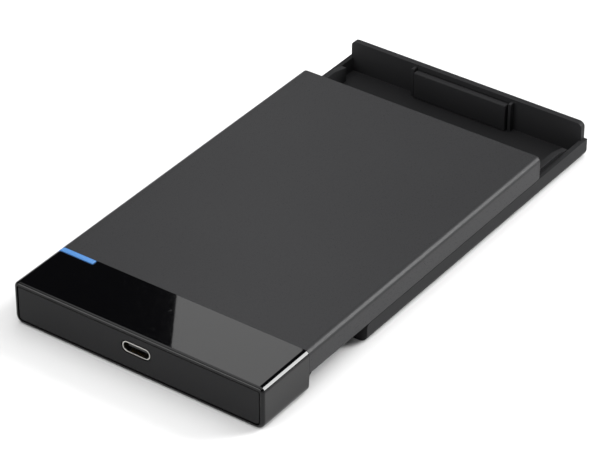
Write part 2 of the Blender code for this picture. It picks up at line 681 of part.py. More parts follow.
def make_tray(frame):
    """The sliding tray: floor, side walls, beaded rails, stepped end wall and the ribs of the drive stop."""
    wall_top = SPLIT_HEIGHT - SEAT
    channel = [
        (-HALF, 0, BOTTOM_FILLET),
        (HALF, 0, BOTTOM_FILLET),
        (HALF, wall_top, 0),
        (HALF - TRAY_WALL, wall_top, 0),
        (HALF - TRAY_WALL, TRAY_FLOOR, 0),
        (-HALF + TRAY_WALL, TRAY_FLOOR, 0),
        (-HALF + TRAY_WALL, wall_top, 0),
        (-HALF, wall_top, 0),
    ]
    tray = solid("tray", extruded(rounded(channel), TRAY_FRONT, TRAY_REAR, "Y"), frame, SATIN_BLACK)
    face = HALF - COVER_SIDE_WALL - FIT
    rail_top = tray_rail_top()
    rail_end = TRAY_REAR - RAIL_END_GAP
    for side, name in ((-1, "rail_left"), (1, "rail_right")):
        rail = [
            (side * (face - RAIL_THICKNESS), TRAY_FLOOR / 2),
            (side * (face + SEAT), TRAY_FLOOR / 2),
            (side * (face + SEAT), wall_top - SEAT),
            (side * face, wall_top - SEAT),
            (side * face, rail_top - BEAD_HEIGHT),
            (side * (face + BEAD_REACH), rail_top - BEAD_HEIGHT),
            (side * (face + BEAD_REACH), rail_top),
            (side * (face - RAIL_THICKNESS), rail_top),
        ]
        join(tray, solid(name, extruded(rail, TRAY_FRONT, rail_end, "Y"), frame))
    slope = [
        (rail_end - RAIL_SLOPE, rail_top),
        (rail_end, wall_top + SEAT),
        (rail_end + FIT, wall_top + SEAT),
        (rail_end + FIT, rail_top + FIT),
        (rail_end - RAIL_SLOPE, rail_top + FIT),
    ]
    bead_run = (COVER_LENGTH - BEAD_END_GAP, rail_end + FIT)
    bead_level = (rail_top - BEAD_HEIGHT - FIT / 2, rail_top + FIT)
    for side, name in ((-1, "left"), (1, "right")):
        reach = sorted((side * (face + SEAT / 2), side * (HALF + FIT)))
        cut(tray, solid(f"bead_end_{name}", box(reach, bead_run, bead_level), frame))
        reach = sorted((side * (face - RAIL_THICKNESS - FIT), side * (face + SEAT)))
        cut(tray, solid(f"rail_slope_{name}", extruded(slope, *reach, "X"), frame))
    inner_face = TRAY_REAR - REAR_STEP - REAR_WALL
    corner = notch_corner(TRAY_FRONT, NOTCH_FILLET + FIT, FIT)
    corner[-2:] = [(TRAY_FRONT - FIT, corner[-2][1]), (TRAY_FRONT - FIT, wall_top + FIT)]
    corner.append((corner[0][0], wall_top + FIT))
    for side, name in ((-1, "front_corner_left"), (1, "front_corner_right")):
        reach = sorted((side * (face + SEAT / 2), side * (HALF + FIT)))
        cut(tray, solid(name, extruded(corner, *reach, "X"), frame))
    lower = rounded(
        [(-HALF, 0, BOTTOM_FILLET), (HALF, 0, BOTTOM_FILLET), (HALF, wall_top, 0), (-HALF, wall_top, 0)]
    )
    half = HALF - REBATE_WALL - FIT
    top = HEIGHT - COVER_TOP_WALL - FIT
    upper = rounded(
        [(-half, TRAY_FLOOR, 0), (half, TRAY_FLOOR, 0), (half, top, REAR_CORNER), (-half, top, REAR_CORNER)]
    )
    join(
        tray,
        solid("end_wall_lower", extruded(lower, inner_face, TRAY_REAR, "Y"), frame),
        solid("end_wall_upper", extruded(upper, inner_face, inner_face + REAR_WALL, "Y"), frame),
    )
    for side, name in ((-1, "stop_rib_left"), (1, "stop_rib_right")):
        near = STOP_HALF_WIDTH + STOP_RIB_GAP
        reach = sorted((side * near, side * (near + STOP_RIB)))
        depth = (inner_face - STOP_RIB_REACH, inner_face + REAR_WALL / 2)
        join(tray, solid(name, box(reach, depth, (TRAY_FLOOR / 2, STOP_RIB_TOP)), frame))
    return tray


def make_drive_stop(frame):
    """The plate between the ribs that holds the drive against its connector when the tray is shut."""
    rear = TRAY_REAR - REAR_STEP - REAR_WALL - STOP_WALL_GAP
    outline = rectangle(rear - STOP_THICKNESS, rear, TRAY_FLOOR + SEAT, STOP_TOP, 0.3 * MM)
    return solid("drive_stop", extruded(outline, -STOP_HALF_WIDTH, STOP_HALF_WIDTH, "X"), frame, SATIN_BLACK)


def case_screw_places():
    """The lid's six screws: four corners and two beside the actuator."""
    side = DRIVE_HALF - SCREW_INSET
    rows = (SCREW_INSET, pivot_place()[1] + 2 * SCREW_INSET, DRIVE_LENGTH - SCREW_INSET)
    return [(x, y) for y in rows for x in (-side, side)]


def park_place():
    """Where the parked heads rest, just outside the platters."""
    return (
        SPINDLE[0] + PARK_RADIUS * math.cos(PARK_BEARING),
        SPINDLE[1] + PARK_RADIUS * math.sin(PARK_BEARING),
    )


def pivot_place():
    """The actuator's pivot, an arm's length from the parked heads and a set distance from the spindle."""
    cosine = (PARK_RADIUS**2 + PIVOT_DISTANCE**2 - ARM_LENGTH**2) / (2 * PARK_RADIUS * PIVOT_DISTANCE)
    bearing = PARK_BEARING + math.acos(cosine)
    return (
        SPINDLE[0] + PIVOT_DISTANCE * math.cos(bearing),
        SPINDLE[1] + PIVOT_DISTANCE * math.sin(bearing),
    )


def arm_bearing():
    """The direction of the parked arm from its pivot."""
    park, pivot = park_place(), pivot_place()
    return math.atan2(park[1] - pivot[1], park[0] - pivot[0])


def make_drive_base(drive):
    """The cast case: a cavity above for the disks, and below a pocket for the board and a bay for the plug."""
    outline = rectangle(-DRIVE_HALF, DRIVE_HALF, 0, DRIVE_LENGTH, DRIVE_CORNER)
    base = solid("drive_base", extruded(outline, 0, CASE_TOP), drive, CAST_ALUMINIUM)
    above = (CASE_FLOOR, DRIVE_HEIGHT)
    below = (-FIT, FLOOR_UNDERSIDE)
    plug_end = PLUG_DEPTH + FIT
    side = DRIVE_HALF - CASE_WALL
    pivot = pivot_place()
    boss = side - 2 * SCREW_INSET + SCREW_SHANK
    ramp_low = park_place()[1] - 10.0 * MM
    actuator_bay = [
        (pivot[0] - YOKE_OUTER + 2 * CASE_WALL, CASE_WALL),
        (PLUG_LEFT - FIT - CASE_WALL, CASE_WALL),
        (PLUG_LEFT - FIT - CASE_WALL, plug_end + CASE_WALL),
        (boss, plug_end + CASE_WALL),
        (boss, SPINDLE[1]),
        (-side, SPINDLE[1]),
        (-side, ramp_low),
        (-boss, ramp_low - (side - boss)),
        (-boss, pivot[1]),
    ]
    cut(
        base,
        solid("disk_bay", extruded(circle(CAVITY_RADIUS, FINE_ROUND, SPINDLE), *above), drive),
        solid("actuator_bay", extruded(actuator_bay, *above), drive),
        solid("board_bay", extruded(board_bay_outline(0.0), *below), drive),
    )
    boss_low = CASE_BOARD_LIFT + CASE_BOARD_THICKNESS + SEAT
    for index, place in enumerate(CASE_BOARD_SCREWS, start=1):
        post = ring(SCREW_SHANK + SEAT, CASE_BOARD_HEAD, boss_low, FLOOR_UNDERSIDE + SEAT, SMALL_ROUND)
        join(base, solid(f"board_post_{index}", post, drive, location=(*place, 0)))
    bay = (PLUG_LEFT - FIT, PLUG_LEFT + PLUG_WIDTH + FIT)
    cut(base, solid("plug_bay", box(bay, (-FIT, plug_end), (-FIT, PLUG_LIFT + PLUG_HEIGHT + FIT)), drive))
    for index, place in enumerate(case_screw_places(), start=1):
        hole = disc(SCREW_SHANK + SEAT, CASE_TOP - SCREW_LENGTH - SEAT, DRIVE_HEIGHT, SMALL_ROUND)
        cut(base, solid(f"case_hole_{index}", hole, drive, location=(*place, 0)))
    for row, y in enumerate(MOUNT_HOLE_ROWS, start=1):
        for side_name, x in (("left", -MOUNT_HOLE_SPACING / 2), ("right", MOUNT_HOLE_SPACING / 2)):
            hole = disc(MOUNT_HOLE_RADIUS, -FIT, MOUNT_HOLE_DEPTH, SMALL_ROUND)
            cut(base, solid(f"mount_hole_{side_name}_{row}", hole, drive, location=(x, y, 0)))
    return base


def board_bay_outline(gap):
    """The outline of the pocket under the case, or of the board in it with a gap all round."""
    half = MOUNT_HOLE_SPACING / 2 - MOUNT_HOLE_RADIUS - CASE_WALL
    front = PLUG_DEPTH + FIT
    return rectangle(-half + gap, half - gap, front - SEAT + gap, SPINDLE[1] - gap, 0.5 * MM)


def make_drive_lid(drive):
    """The stamped steel lid, with a shallow round relief over the platters, and its screws."""
    outline = rectangle(-DRIVE_HALF, DRIVE_HALF, 0, DRIVE_LENGTH, DRIVE_CORNER)
    low = DRIVE_HEIGHT - LID_THICKNESS
    lid = solid("drive_lid", extruded(outline, low, DRIVE_HEIGHT), drive, STEEL)
    relief = circle(PLATTER_RADIUS - SCREW_INSET, FINE_ROUND, SPINDLE)
    cut(lid, solid("lid_relief", extruded(relief, DRIVE_HEIGHT - 0.15 * MM, DRIVE_HEIGHT + FIT), drive))
    for index, place in enumerate(case_screw_places(), start=1):
        hole = disc(SCREW_HEAD + FIT, low - FIT, DRIVE_HEIGHT + FIT, SMALL_ROUND)
        cut(lid, solid(f"lid_hole_{index}", hole, drive, location=(*place, 0)))
        seat = (*place, CASE_TOP + SEAT)
        head_height = LID_THICKNESS + LID_GAP - 2 * SEAT
        screw(f"lid_screw_{index}", drive, STEEL, seat, SCREW_HEAD, head_height, SCREW_SHANK, SCREW_LENGTH)


def make_drive_board(drive):
    """The drive's own board under the case, its screws, and its main chips facing the case floor."""
    low = CASE_BOARD_LIFT
    high = low + CASE_BOARD_THICKNESS
    board = solid("drive_circuit_board", extruded(board_bay_outline(FIT), low, high), drive, GREEN_BOARD)
    length = FLOOR_UNDERSIDE - low
    for index, place in enumerate(CASE_BOARD_SCREWS, start=1):
        hole = disc(SCREW_SHANK + SEAT, low - FIT, high + FIT, SMALL_ROUND)
        cut(board, solid(f"drive_board_hole_{index}", hole, drive, location=(*place, 0)))
        name = f"drive_board_screw_{index}"
        seat = (*place, low - SEAT)
        fastener = screw(
            name, drive, STEEL, seat, CASE_BOARD_HEAD, CASE_BOARD_HEAD_HEIGHT, SCREW_SHANK, length
        )
        fastener.rotation_euler.x = math.pi
    chips = (
        ("controller_chip", (-7.0 * MM, 28.0 * MM), (13.0 * MM, 13.0 * MM)),
        ("memory_chip", (13.0 * MM, 26.0 * MM), (8.0 * MM, 11.0 * MM)),
        ("motor_driver_chip", (6.0 * MM, 46.0 * MM), (8.0 * MM, 8.0 * MM)),
    )
    for name, (x, y), (width, depth) in chips:
        reach = (high + SEAT, FLOOR_UNDERSIDE - SEAT)
        solid(name, box((x - width / 2, x + width / 2), (y - depth / 2, y + depth / 2), reach), drive, CHIP_BLACK)


def make_spindle(spindle):
    """The fixed shaft and stator, and the hub, platters, spacer, clamp and screws that spin on them."""
    flange_top = LOWER_PLATTER - SEAT
    hub_top = UPPER_PLATTER + PLATTER_THICKNESS - SEAT
    hub_radius = PLATTER_BORE - FIT
    clamp_low = UPPER_PLATTER + PLATTER_THICKNESS + SEAT
    clamp_high = clamp_low + CLAMP_THICKNESS
    web = hub_top - 1.6 * MM
    shaft = disc(SHAFT_RADIUS, CASE_FLOOR + SEAT, clamp_high + SEAT, ROUND)
    solid("spindle_shaft", shaft, spindle, STEEL)
    stator = ring(STATOR_RADIUS / 2, STATOR_RADIUS, CASE_FLOOR + SEAT, web - FIT, ROUND)
    solid("motor_stator", stator, spindle, COPPER)
    bore = SHAFT_RADIUS + FIT
    hub_profile = [
        (bore, flange_top),
        (STATOR_RADIUS / 2 - FIT, flange_top),
        (STATOR_RADIUS / 2 - FIT, web),
        (STATOR_RADIUS + FIT, web),
        (STATOR_RADIUS + FIT, CASE_FLOOR + FIT),
        (FLANGE_RADIUS, CASE_FLOOR + FIT),
        (FLANGE_RADIUS, flange_top),
        (hub_radius, flange_top),
        (hub_radius, hub_top),
        (bore, hub_top),
    ]
    hub = solid("spindle_hub", turned(hub_profile, ROUND), spindle, CAST_ALUMINIUM)
    clamp = solid("platter_clamp", ring(bore, FLANGE_RADIUS, clamp_low, clamp_high, ROUND), spindle, STEEL)
    for name, low in (("platter_lower", LOWER_PLATTER), ("platter_upper", UPPER_PLATTER)):
        platter = ring(PLATTER_BORE, PLATTER_RADIUS, low, low + PLATTER_THICKNESS, FINE_ROUND)
        solid(name, platter, spindle, MIRROR_DISK)
    gap_low = LOWER_PLATTER + PLATTER_THICKNESS + SEAT
    spacer = ring(PLATTER_BORE, FLANGE_RADIUS, gap_low, UPPER_PLATTER - SEAT, ROUND)
    solid("platter_spacer", spacer, spindle, CAST_ALUMINIUM)
    for index in range(CLAMP_SCREWS):
        bearing = CLAMP_SCREW_BEARING + 2 * math.pi * index / CLAMP_SCREWS
        place = (CLAMP_SCREW_CIRCLE * math.cos(bearing), CLAMP_SCREW_CIRCLE * math.sin(bearing), 0)
        hole = disc(SCREW_SHANK + SEAT, web - FIT, clamp_high + FIT, SMALL_ROUND)
        tool = solid(f"clamp_hole_{index + 1}", hole, spindle, location=place)
        cut(hub, tool)
        cut(clamp, tool)
        seat = (place[0], place[1], clamp_high + SEAT)
        length = clamp_high + SEAT - web
        screw(f"clamp_screw_{index + 1}", spindle, STEEL, seat, 2 * SCREW_SHANK, 0.3 * MM, SCREW_SHANK, length)


def arm_levels():
    """The (low, high) heights of the actuator's three arms, between and outside the platters."""
    suspension = SUSPENSION_THICKNESS + 2 * SEAT
    lower_top = LOWER_PLATTER - suspension - SEAT
    middle_low = LOWER_PLATTER + PLATTER_THICKNESS + suspension + 2 * SEAT
    middle_high = UPPER_PLATTER - suspension - SEAT
    upper_low = UPPER_PLATTER + PLATTER_THICKNESS + suspension + 1.5 * SEAT
    return (
        (CASE_FLOOR + FIT, lower_top),
        (middle_low, middle_high),
        (upper_low, CASE_TOP - 2 * SEAT),
    )


def pointed(length_start, length_end, width_start, width_end, bearing):
    """A tapering plate's outline, along a bearing from the pivot."""
    corners = [
        (length_start, -width_start / 2),
        (length_end, -width_end / 2),
        (length_end, width_end / 2),
        (length_start, width_start / 2),
    ]
    cosine, sine = math.cos(bearing), math.sin(bearing)
    return [(u * cosine - v * sine, u * sine + v * cosine) for u, v in corners]


def make_actuator(pivot):
    """The E-shaped arm block on its bearing, with its coil, and the four suspensions that carry the heads."""
    bearing = arm_bearing()
    levels = arm_levels()
    low, high = levels[0][0], levels[-1][1]
    solid("pivot_shaft", disc(PIVOT_SHAFT, CASE_FLOOR + SEAT, CASE_TOP - SEAT, ROUND), pivot, STEEL)
    solid("pivot_bearing", ring(PIVOT_SHAFT + SEAT, BEARING_RADIUS, low, high, ROUND), pivot, NICKEL)
    block_shape = ring(BEARING_RADIUS + SEAT, BLOCK_RADIUS, low, high, ROUND)
    block = solid("actuator_arm", block_shape, pivot, CAST_ALUMINIUM)
    arm_end = ARM_LENGTH * 0.65
    ring_middle = (BEARING_RADIUS + BLOCK_RADIUS) / 2
    for index, level in enumerate(levels, start=1):
        outline = pointed(ring_middle, arm_end, BLOCK_RADIUS * 1.3, 4.0 * MM, bearing)
        join(block, solid(f"arm_plate_{index}", extruded(outline, *level), pivot))
    coil = coil_levels()
    fork = sector(ring_middle, COIL_INNER - FIT, *coil_span(0.0), ROUND // 4)
    join(block, solid("coil_fork", extruded(fork, *coil), pivot))
    outer = sector(COIL_INNER, COIL_OUTER, *coil_span(0.0), ROUND // 4)
    winding = solid("voice_coil", extruded(outer, *coil), pivot, COPPER)
    narrowing = COIL_WIRE / COIL_INNER
    window = sector(COIL_INNER + COIL_WIRE, COIL_OUTER - COIL_WIRE, *coil_span(-narrowing), ROUND // 4)
    cut(winding, solid("coil_window", extruded(window, coil[0] - FIT, coil[1] + FIT), pivot))
    make_suspensions(pivot, bearing)


def make_suspensions(pivot, bearing):
    """Four thin plates, each with a slider facing its platter surface."""
    surfaces = []
    for platter in (LOWER_PLATTER, UPPER_PLATTER):
        surfaces.append((platter, -1))
        surfaces.append((platter + PLATTER_THICKNESS, 1))
    slider_height = 2 * SEAT
    for index, (surface, side) in enumerate(surfaces, start=1):
        near = surface + side * SLIDER_GAP
        middle = near + side * slider_height
        far = middle + side * SUSPENSION_THICKNESS
        plate = sorted((middle, far))
        outline = pointed(ARM_LENGTH * 0.55, ARM_LENGTH + 1.0 * MM, 3.4 * MM, 0.8 * MM, bearing)
        name = f"head_suspension_{index}"
        suspension = solid(name, extruded(outline, *plate), pivot, NICKEL)
        foot = pointed(ARM_LENGTH - 0.6 * MM, ARM_LENGTH + 0.6 * MM, 0.7 * MM, 0.7 * MM, bearing)
        slider = extruded(foot, *sorted((near, middle + side * SUSPENSION_THICKNESS / 2)))
        join(suspension, solid(f"slider_{index}", slider, pivot))


def coil_levels():
    """The coil's underside and top, midway between the platters."""
    middle = (LOWER_PLATTER + UPPER_PLATTER + PLATTER_THICKNESS) / 2
    return middle - 0.55 * MM, middle + 0.55 * MM


def coil_span(extra):
    """The bearings of the parked coil's two ends."""
    middle = arm_bearing() + math.pi
    return middle - COIL_HALF_ANGLE - extra, middle + COIL_HALF_ANGLE + extra


def swept_span(extra):
    """The bearings that the coil sweeps between its parked and innermost places."""
    parked = coil_span(extra)
    return parked[0] - SWING, parked[1]


def make_voice_coil_motor(pivot):
    """Two steel yokes with a magnet each; the lower yoke's posts hold the upper one."""
    coil = coil_levels()
    magnet_gap = FIT
    upper_high = CASE_TOP - 2 * SEAT
    lower_yoke = (CASE_FLOOR + 2 * SEAT, CASE_FLOOR + 2 * SEAT + YOKE_THICKNESS)
    upper_yoke = (upper_high - YOKE_THICKNESS, upper_high)
    lower_magnet = (lower_yoke[1] + SEAT, coil[0] - magnet_gap)
    upper_magnet = (coil[1] + magnet_gap, upper_yoke[0] - SEAT)
    steel = sector(YOKE_INNER, YOKE_OUTER, *swept_span(YOKE_OVERHANG), ROUND // 2)
    magnet = sector(YOKE_INNER + 1.0 * MM, YOKE_OUTER - 1.0 * MM, *swept_span(0.0), ROUND // 2)
    lower = solid("yoke_lower", extruded(steel, *lower_yoke), pivot, STEEL)
    solid("yoke_upper", extruded(steel, *upper_yoke), pivot, STEEL)
    solid("magnet_lower", extruded(magnet, *lower_magnet), pivot, MAGNET)
    solid("magnet_upper", extruded(magnet, *upper_magnet), pivot, MAGNET)
    post_bearings = swept_span(YOKE_OVERHANG * 0.7)
    post_circle = (YOKE_INNER + YOKE_OUTER) / 2
    for index, bearing in enumerate(post_bearings, start=1):
        post = disc(1.0 * MM, lower_yoke[0] + SEAT, upper_yoke[0] - SEAT, SMALL_ROUND)
        place = (post_circle * math.cos(bearing), post_circle * math.sin(bearing), 0)
        join(lower, solid(f"yoke_post_{index}", post, pivot, location=place))


def make_load_ramp(drive):
    """The ramp at the platters' edge: a foot, and a fin level with each platter for the tips to climb."""
    park = park_place()
    wall = -(DRIVE_HALF - CASE_WALL - FIT)
    clear = PLATTER_RADIUS + 0.4 * MM
    bearings = [PARK_BEARING + math.radians(angle) for angle in (-7.5, -4, 0, 4, 8, 10.5)]
    edge = [(SPINDLE[0] + clear * math.cos(b), SPINDLE[1] + clear * math.sin(b)) for b in bearings]
    foot_front = park[1] - 10.0 * MM + FIT
    foot_face = wall + 2.4 * MM
    foot = box((wall, foot_face), (foot_front, park[1] - 3.5 * MM), (CASE_FLOOR + SEAT, CASE_TOP - 2 * SEAT))
    ramp = solid("load_ramp", foot, drive, RAMP_WHITE)
    outline = edge + [(foot_face - SEAT, foot_front + 0.8 * MM), (wall + SEAT, foot_front + 0.8 * MM)]
    outline.append((wall + SEAT, edge[0][1]))
    for name, low in (("ramp_fin_lower", LOWER_PLATTER), ("ramp_fin_upper", UPPER_PLATTER)):
        fin = extruded(outline, low + SEAT / 2, low + PLATTER_THICKNESS - SEAT / 2)
        join(ramp, solid(name, fin, drive))
    return ramp


def make_case_fittings(drive):
    """The air filter beside the platters and the socket of the heads' flexible lead."""
    side = DRIVE_HALF - CASE_WALL - 2 * SCREW_INSET + SCREW_SHANK
    top = CASE_TOP - FIT
    air_filter = box((side - 3.0 * MM, side - FIT), (18.0 * MM, 28.0 * MM), (CASE_FLOOR + SEAT, top))
    solid("air_filter", air_filter, drive, RAMP_WHITE)
    socket = box((6.0 * MM, 16.0 * MM), (10.0 * MM, 14.0 * MM), (CASE_FLOOR + SEAT, CASE_FLOOR + 2.0 * MM))
    solid("flex_socket", socket, drive, CONNECTOR_BLACK)


def main():
    """Build every piece in its frame."""
    clear_scene()
    frame = empty("enclosure_frame", (0, -TRAY_REAR / 2, 0))
    drive = empty("drive_frame", (0, DRIVE_FRONT, DRIVE_BOTTOM), frame)
    spindle = empty("spindle_axis", (*SPINDLE, 0), drive)
    pivot = empty("pivot_axis", (*pivot_place(), 0), drive)
    make_cover_shell(frame)
    make_front_cap(frame)
    make_front_panel(frame)
    make_light_pipe(frame)
    make_usb_port(frame)
    make_bridge_board(frame)
    make_sata_receptacle(frame, drive)
    make_tray(frame)
    make_drive_stop(frame)
    make_drive_base(drive)
    make_drive_lid(drive)
    make_drive_board(drive)
    make_sata_plug(drive)
    make_spindle(spindle)
    make_actuator(pivot)
    make_voice_coil_motor(pivot)
    make_load_ramp(drive)
    make_case_fittings(drive)


main()
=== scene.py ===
"""The finished looks of a portable hard disk drive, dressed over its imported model.

A 2.5 inch drive sits in a black enclosure whose tray has been drawn part of the way out.
Sizes are in metres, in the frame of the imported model.
"""

import json
import logging
import math
from collections.abc import Callable
from dataclasses import dataclass, field
from enum import Enum

import bpy
from mathutils import Matrix, Vector

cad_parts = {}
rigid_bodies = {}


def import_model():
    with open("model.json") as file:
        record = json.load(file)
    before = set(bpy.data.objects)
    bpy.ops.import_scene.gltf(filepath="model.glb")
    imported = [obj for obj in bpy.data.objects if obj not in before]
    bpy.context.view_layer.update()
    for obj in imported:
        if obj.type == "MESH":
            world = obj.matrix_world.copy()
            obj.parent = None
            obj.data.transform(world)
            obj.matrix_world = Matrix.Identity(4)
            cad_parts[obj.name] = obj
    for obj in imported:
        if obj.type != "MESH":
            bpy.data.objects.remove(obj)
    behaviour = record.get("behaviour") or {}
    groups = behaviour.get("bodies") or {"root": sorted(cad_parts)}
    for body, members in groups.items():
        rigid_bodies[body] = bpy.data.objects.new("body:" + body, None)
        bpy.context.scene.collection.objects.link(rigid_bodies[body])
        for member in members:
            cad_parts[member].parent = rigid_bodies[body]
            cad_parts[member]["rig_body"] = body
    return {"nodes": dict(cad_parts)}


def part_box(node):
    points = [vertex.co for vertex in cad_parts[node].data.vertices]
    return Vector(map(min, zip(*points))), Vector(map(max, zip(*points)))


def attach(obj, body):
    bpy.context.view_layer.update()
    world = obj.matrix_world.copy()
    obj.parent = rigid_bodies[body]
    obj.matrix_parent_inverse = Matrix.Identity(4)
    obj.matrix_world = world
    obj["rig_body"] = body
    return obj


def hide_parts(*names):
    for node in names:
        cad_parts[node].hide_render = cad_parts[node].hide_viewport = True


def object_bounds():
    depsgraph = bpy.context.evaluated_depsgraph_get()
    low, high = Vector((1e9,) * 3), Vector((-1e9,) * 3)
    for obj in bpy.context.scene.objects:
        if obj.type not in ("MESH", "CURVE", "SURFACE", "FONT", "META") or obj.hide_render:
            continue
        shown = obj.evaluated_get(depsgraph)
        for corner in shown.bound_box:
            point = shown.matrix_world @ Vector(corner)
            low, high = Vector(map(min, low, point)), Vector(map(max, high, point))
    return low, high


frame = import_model()

LOG = logging.getLogger("drive")
MM = 0.001
CAD_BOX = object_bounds()
SHARP_CORNER = 32.0  # degrees: an edge sharper than this is broken
SMOOTH_CORNER = 40.0  # degrees: faces that meet more gently than this are shaded as one
FLAT = 0.5  # degrees: faces that meet more gently than this become one face
SAME_PLACE = 0.001 * MM  # corners nearer than this are one corner
FACING = 0.9  # a face whose normal reaches this far along an axis looks that way

Object = bpy.types.Object
Material = bpy.types.Material
Tree = bpy.types.NodeTree
Node = bpy.types.Node
Socket = bpy.types.NodeSocket
FaceTest = Callable[[Vector, Vector], bool]
EdgeTest = Callable[[Vector], bool]
Shaping = Callable[[Object], None]


def linear(colour: str) -> tuple[float, float, float, float]:
    """Turn an sRGB hex colour to linear light.

    Args:
        colour: The colour as "#rrggbb".

    Returns:
        Red, green, blue and an alpha of 1.
    """
    channels = [int(colour[place : place + 2], 16) / 255 for place in (1, 3, 5)]
    light = [c / 12.92 if c <= 0.04045 else ((c + 0.055) / 1.055) ** 2.4 for c in channels]
    return (*light, 1.0)


def add(
    tree: Tree, kind: str, inputs: dict[str | int, object] | None = None, **settings: object
) -> Node:
    """Add a node with its settings and its links.

    Args:
        tree: The node tree that it joins.
        kind: Blender's name for the node.
        inputs: A value or an output socket for each input, by name or number.
        settings: Properties of the node itself.

    Returns:
        The node.
    """
    node = tree.nodes.new(kind)
    for name, value in settings.items():
        setattr(node, name, value)
    for name, value in (inputs or {}).items():
        if isinstance(value, Socket):
            tree.links.new(value, node.inputs[name])
        else:
            node.inputs[name].default_value = value
    return node


def blend(tree: Tree, share: Socket, first: object, second: object) -> Socket:
    """Mix two colours.

    Args:
        tree: The node tree.
        share: How much of the second colour shows, from 0 to 1.
        first: The colour or the socket at 0.
        second: The colour or the socket at 1.

    Returns:
        The socket that gives the mixed colour.
    """
    sides = {0: share, 6: first, 7: second}
    return add(tree, "ShaderNodeMix", sides, data_type="RGBA").outputs[2]


class Grain(Enum):
    """The way a surface's marks run, as the stretch of one mark along x, y and z."""

    EVEN = (1.0, 1.0, 1.0)
    ALONG = (1.0, 0.04, 1.0)
    ACROSS = (0.04, 1.0, 1.0)


@dataclass(frozen=True)
class Finish:
    """A real material: its colours, how it shines, and the size of the marks that making it leaves.

    Sizes are in metres. The marks are a bump and a change of shine of that size, and the patches
    are the slow change of colour over a whole piece.
    """

    name: str
    colour: str
    patch_colour: str
    roughness: float
    mark: float
    mark_depth: float
    patch: float = 14 * MM
    wander: float = 0.05
    metallic: float = 0.0
    specular: float = 0.5
    coat: float = 0.0
    coat_roughness: float = 0.03
    grain: Grain = Grain.EVEN

    def material(self) -> Material:
        """The material, made once and shared by every piece that has it."""
        made = bpy.data.materials.get(self.name)
        if made:
            return made
        made = bpy.data.materials.new(self.name)
        made.use_nodes = True
        tree = made.node_tree
        shader = tree.nodes["Principled BSDF"]
        shader.inputs["Metallic"].default_value = self.metallic
        shader.inputs["Specular IOR Level"].default_value = self.specular
        shader.inputs["Coat Weight"].default_value = self.coat
        shader.inputs["Coat Roughness"].default_value = self.coat_roughness
        place = add(tree, "ShaderNodeTexCoord").outputs["Object"]
        self.dress(tree, shader, place)
        return made

    def marks(self, tree: Tree, place: Socket) -> Socket:
        """The height of the surface's own marks, from 0 to 1.

        Args:
            tree: The material's node tree.
            place: Where on the piece, in metres.

        Returns:
            The socket that gives the height.
        """
        run = add(tree, "ShaderNodeMapping", {"Vector": place, "Scale": self.grain.value})
        size = {"Vector": run.outputs[0], "Scale": 1 / self.mark, "Detail": 3.0, "Roughness": 0.6}
        return add(tree, "ShaderNodeTexNoise", size).outputs["Fac"]

    def tint(self, tree: Tree, place: Socket) -> Socket:
        """The colour of the surface, which drifts between the two colours.

        Args:
            tree: The material's node tree.
            place: Where on the piece, in metres.

        Returns:
            The socket that gives the colour.
        """
        size = {"Vector": place, "Scale": 1 / self.patch, "Detail": 4.0}
        drift = add(tree, "ShaderNodeTexNoise", size)
        return blend(tree, drift.outputs["Fac"], linear(self.colour), linear(self.patch_colour))

    def press(self, tree: Tree, shader: Node, height: Socket) -> None:
        """Press the marks into the surface.

        Args:
            tree: The material's node tree.
            shader: The Principled shader.
            height: The height of the marks, from 0 to 1.
        """
        depth = {"Height": height, "Strength": 1.0, "Distance": self.mark_depth}
        tree.links.new(add(tree, "ShaderNodeBump", depth).outputs[0], shader.inputs["Normal"])

    def shine(self, tree: Tree, shader: Node, height: Socket) -> None:
        """Let the roughness wander with the marks, and press them into the surface.

        Args:
            tree: The material's node tree.
            shader: The Principled shader.
            height: The height of the marks, from 0 to 1.
        """
        low, high = max(0.0, self.roughness - self.wander), self.roughness + self.wander
        spread = {"Value": height, "From Min": 0.3, "From Max": 0.7, "To Min": low, "To Max": high}
        rough = add(tree, "ShaderNodeMapRange", spread)
        tree.links.new(rough.outputs[0], shader.inputs["Roughness"])
        self.press(tree, shader, height)

    def dress(self, tree: Tree, shader: Node, place: Socket) -> None:
        """Give the shader its colour, its shine and its marks.

        Args:
            tree: The material's node tree.
            shader: The Principled shader.
            place: Where on the piece, in metres.
        """
        tree.links.new(self.tint(tree, place), shader.inputs["Base Color"])
        self.shine(tree, shader, self.marks(tree, place))


@dataclass(frozen=True)
class SparkedPlastic(Finish):
    """Moulded plastic whose tool was spark eroded: small round craters that scatter the light."""

    grit_share: float = 0.55

    def marks(self, tree: Tree, place: Socket) -> Socket:
        """The craters, with a finer grit over them.

        Args:
            tree: The material's node tree.
            place: Where on the piece, in metres.

        Returns:
            The socket that gives the height.
        """
        craters = {"Vector": place, "Scale": 1 / self.mark, "Smoothness": 0.5}
        pits = add(tree, "ShaderNodeTexVoronoi", craters, feature="SMOOTH_F1")
        grit = super().marks(tree, place)
        sides = {0: self.grit_share, 2: pits.outputs["Distance"], 3: grit}
        mix = add(tree, "ShaderNodeMix", sides)
        return mix.outputs[0]


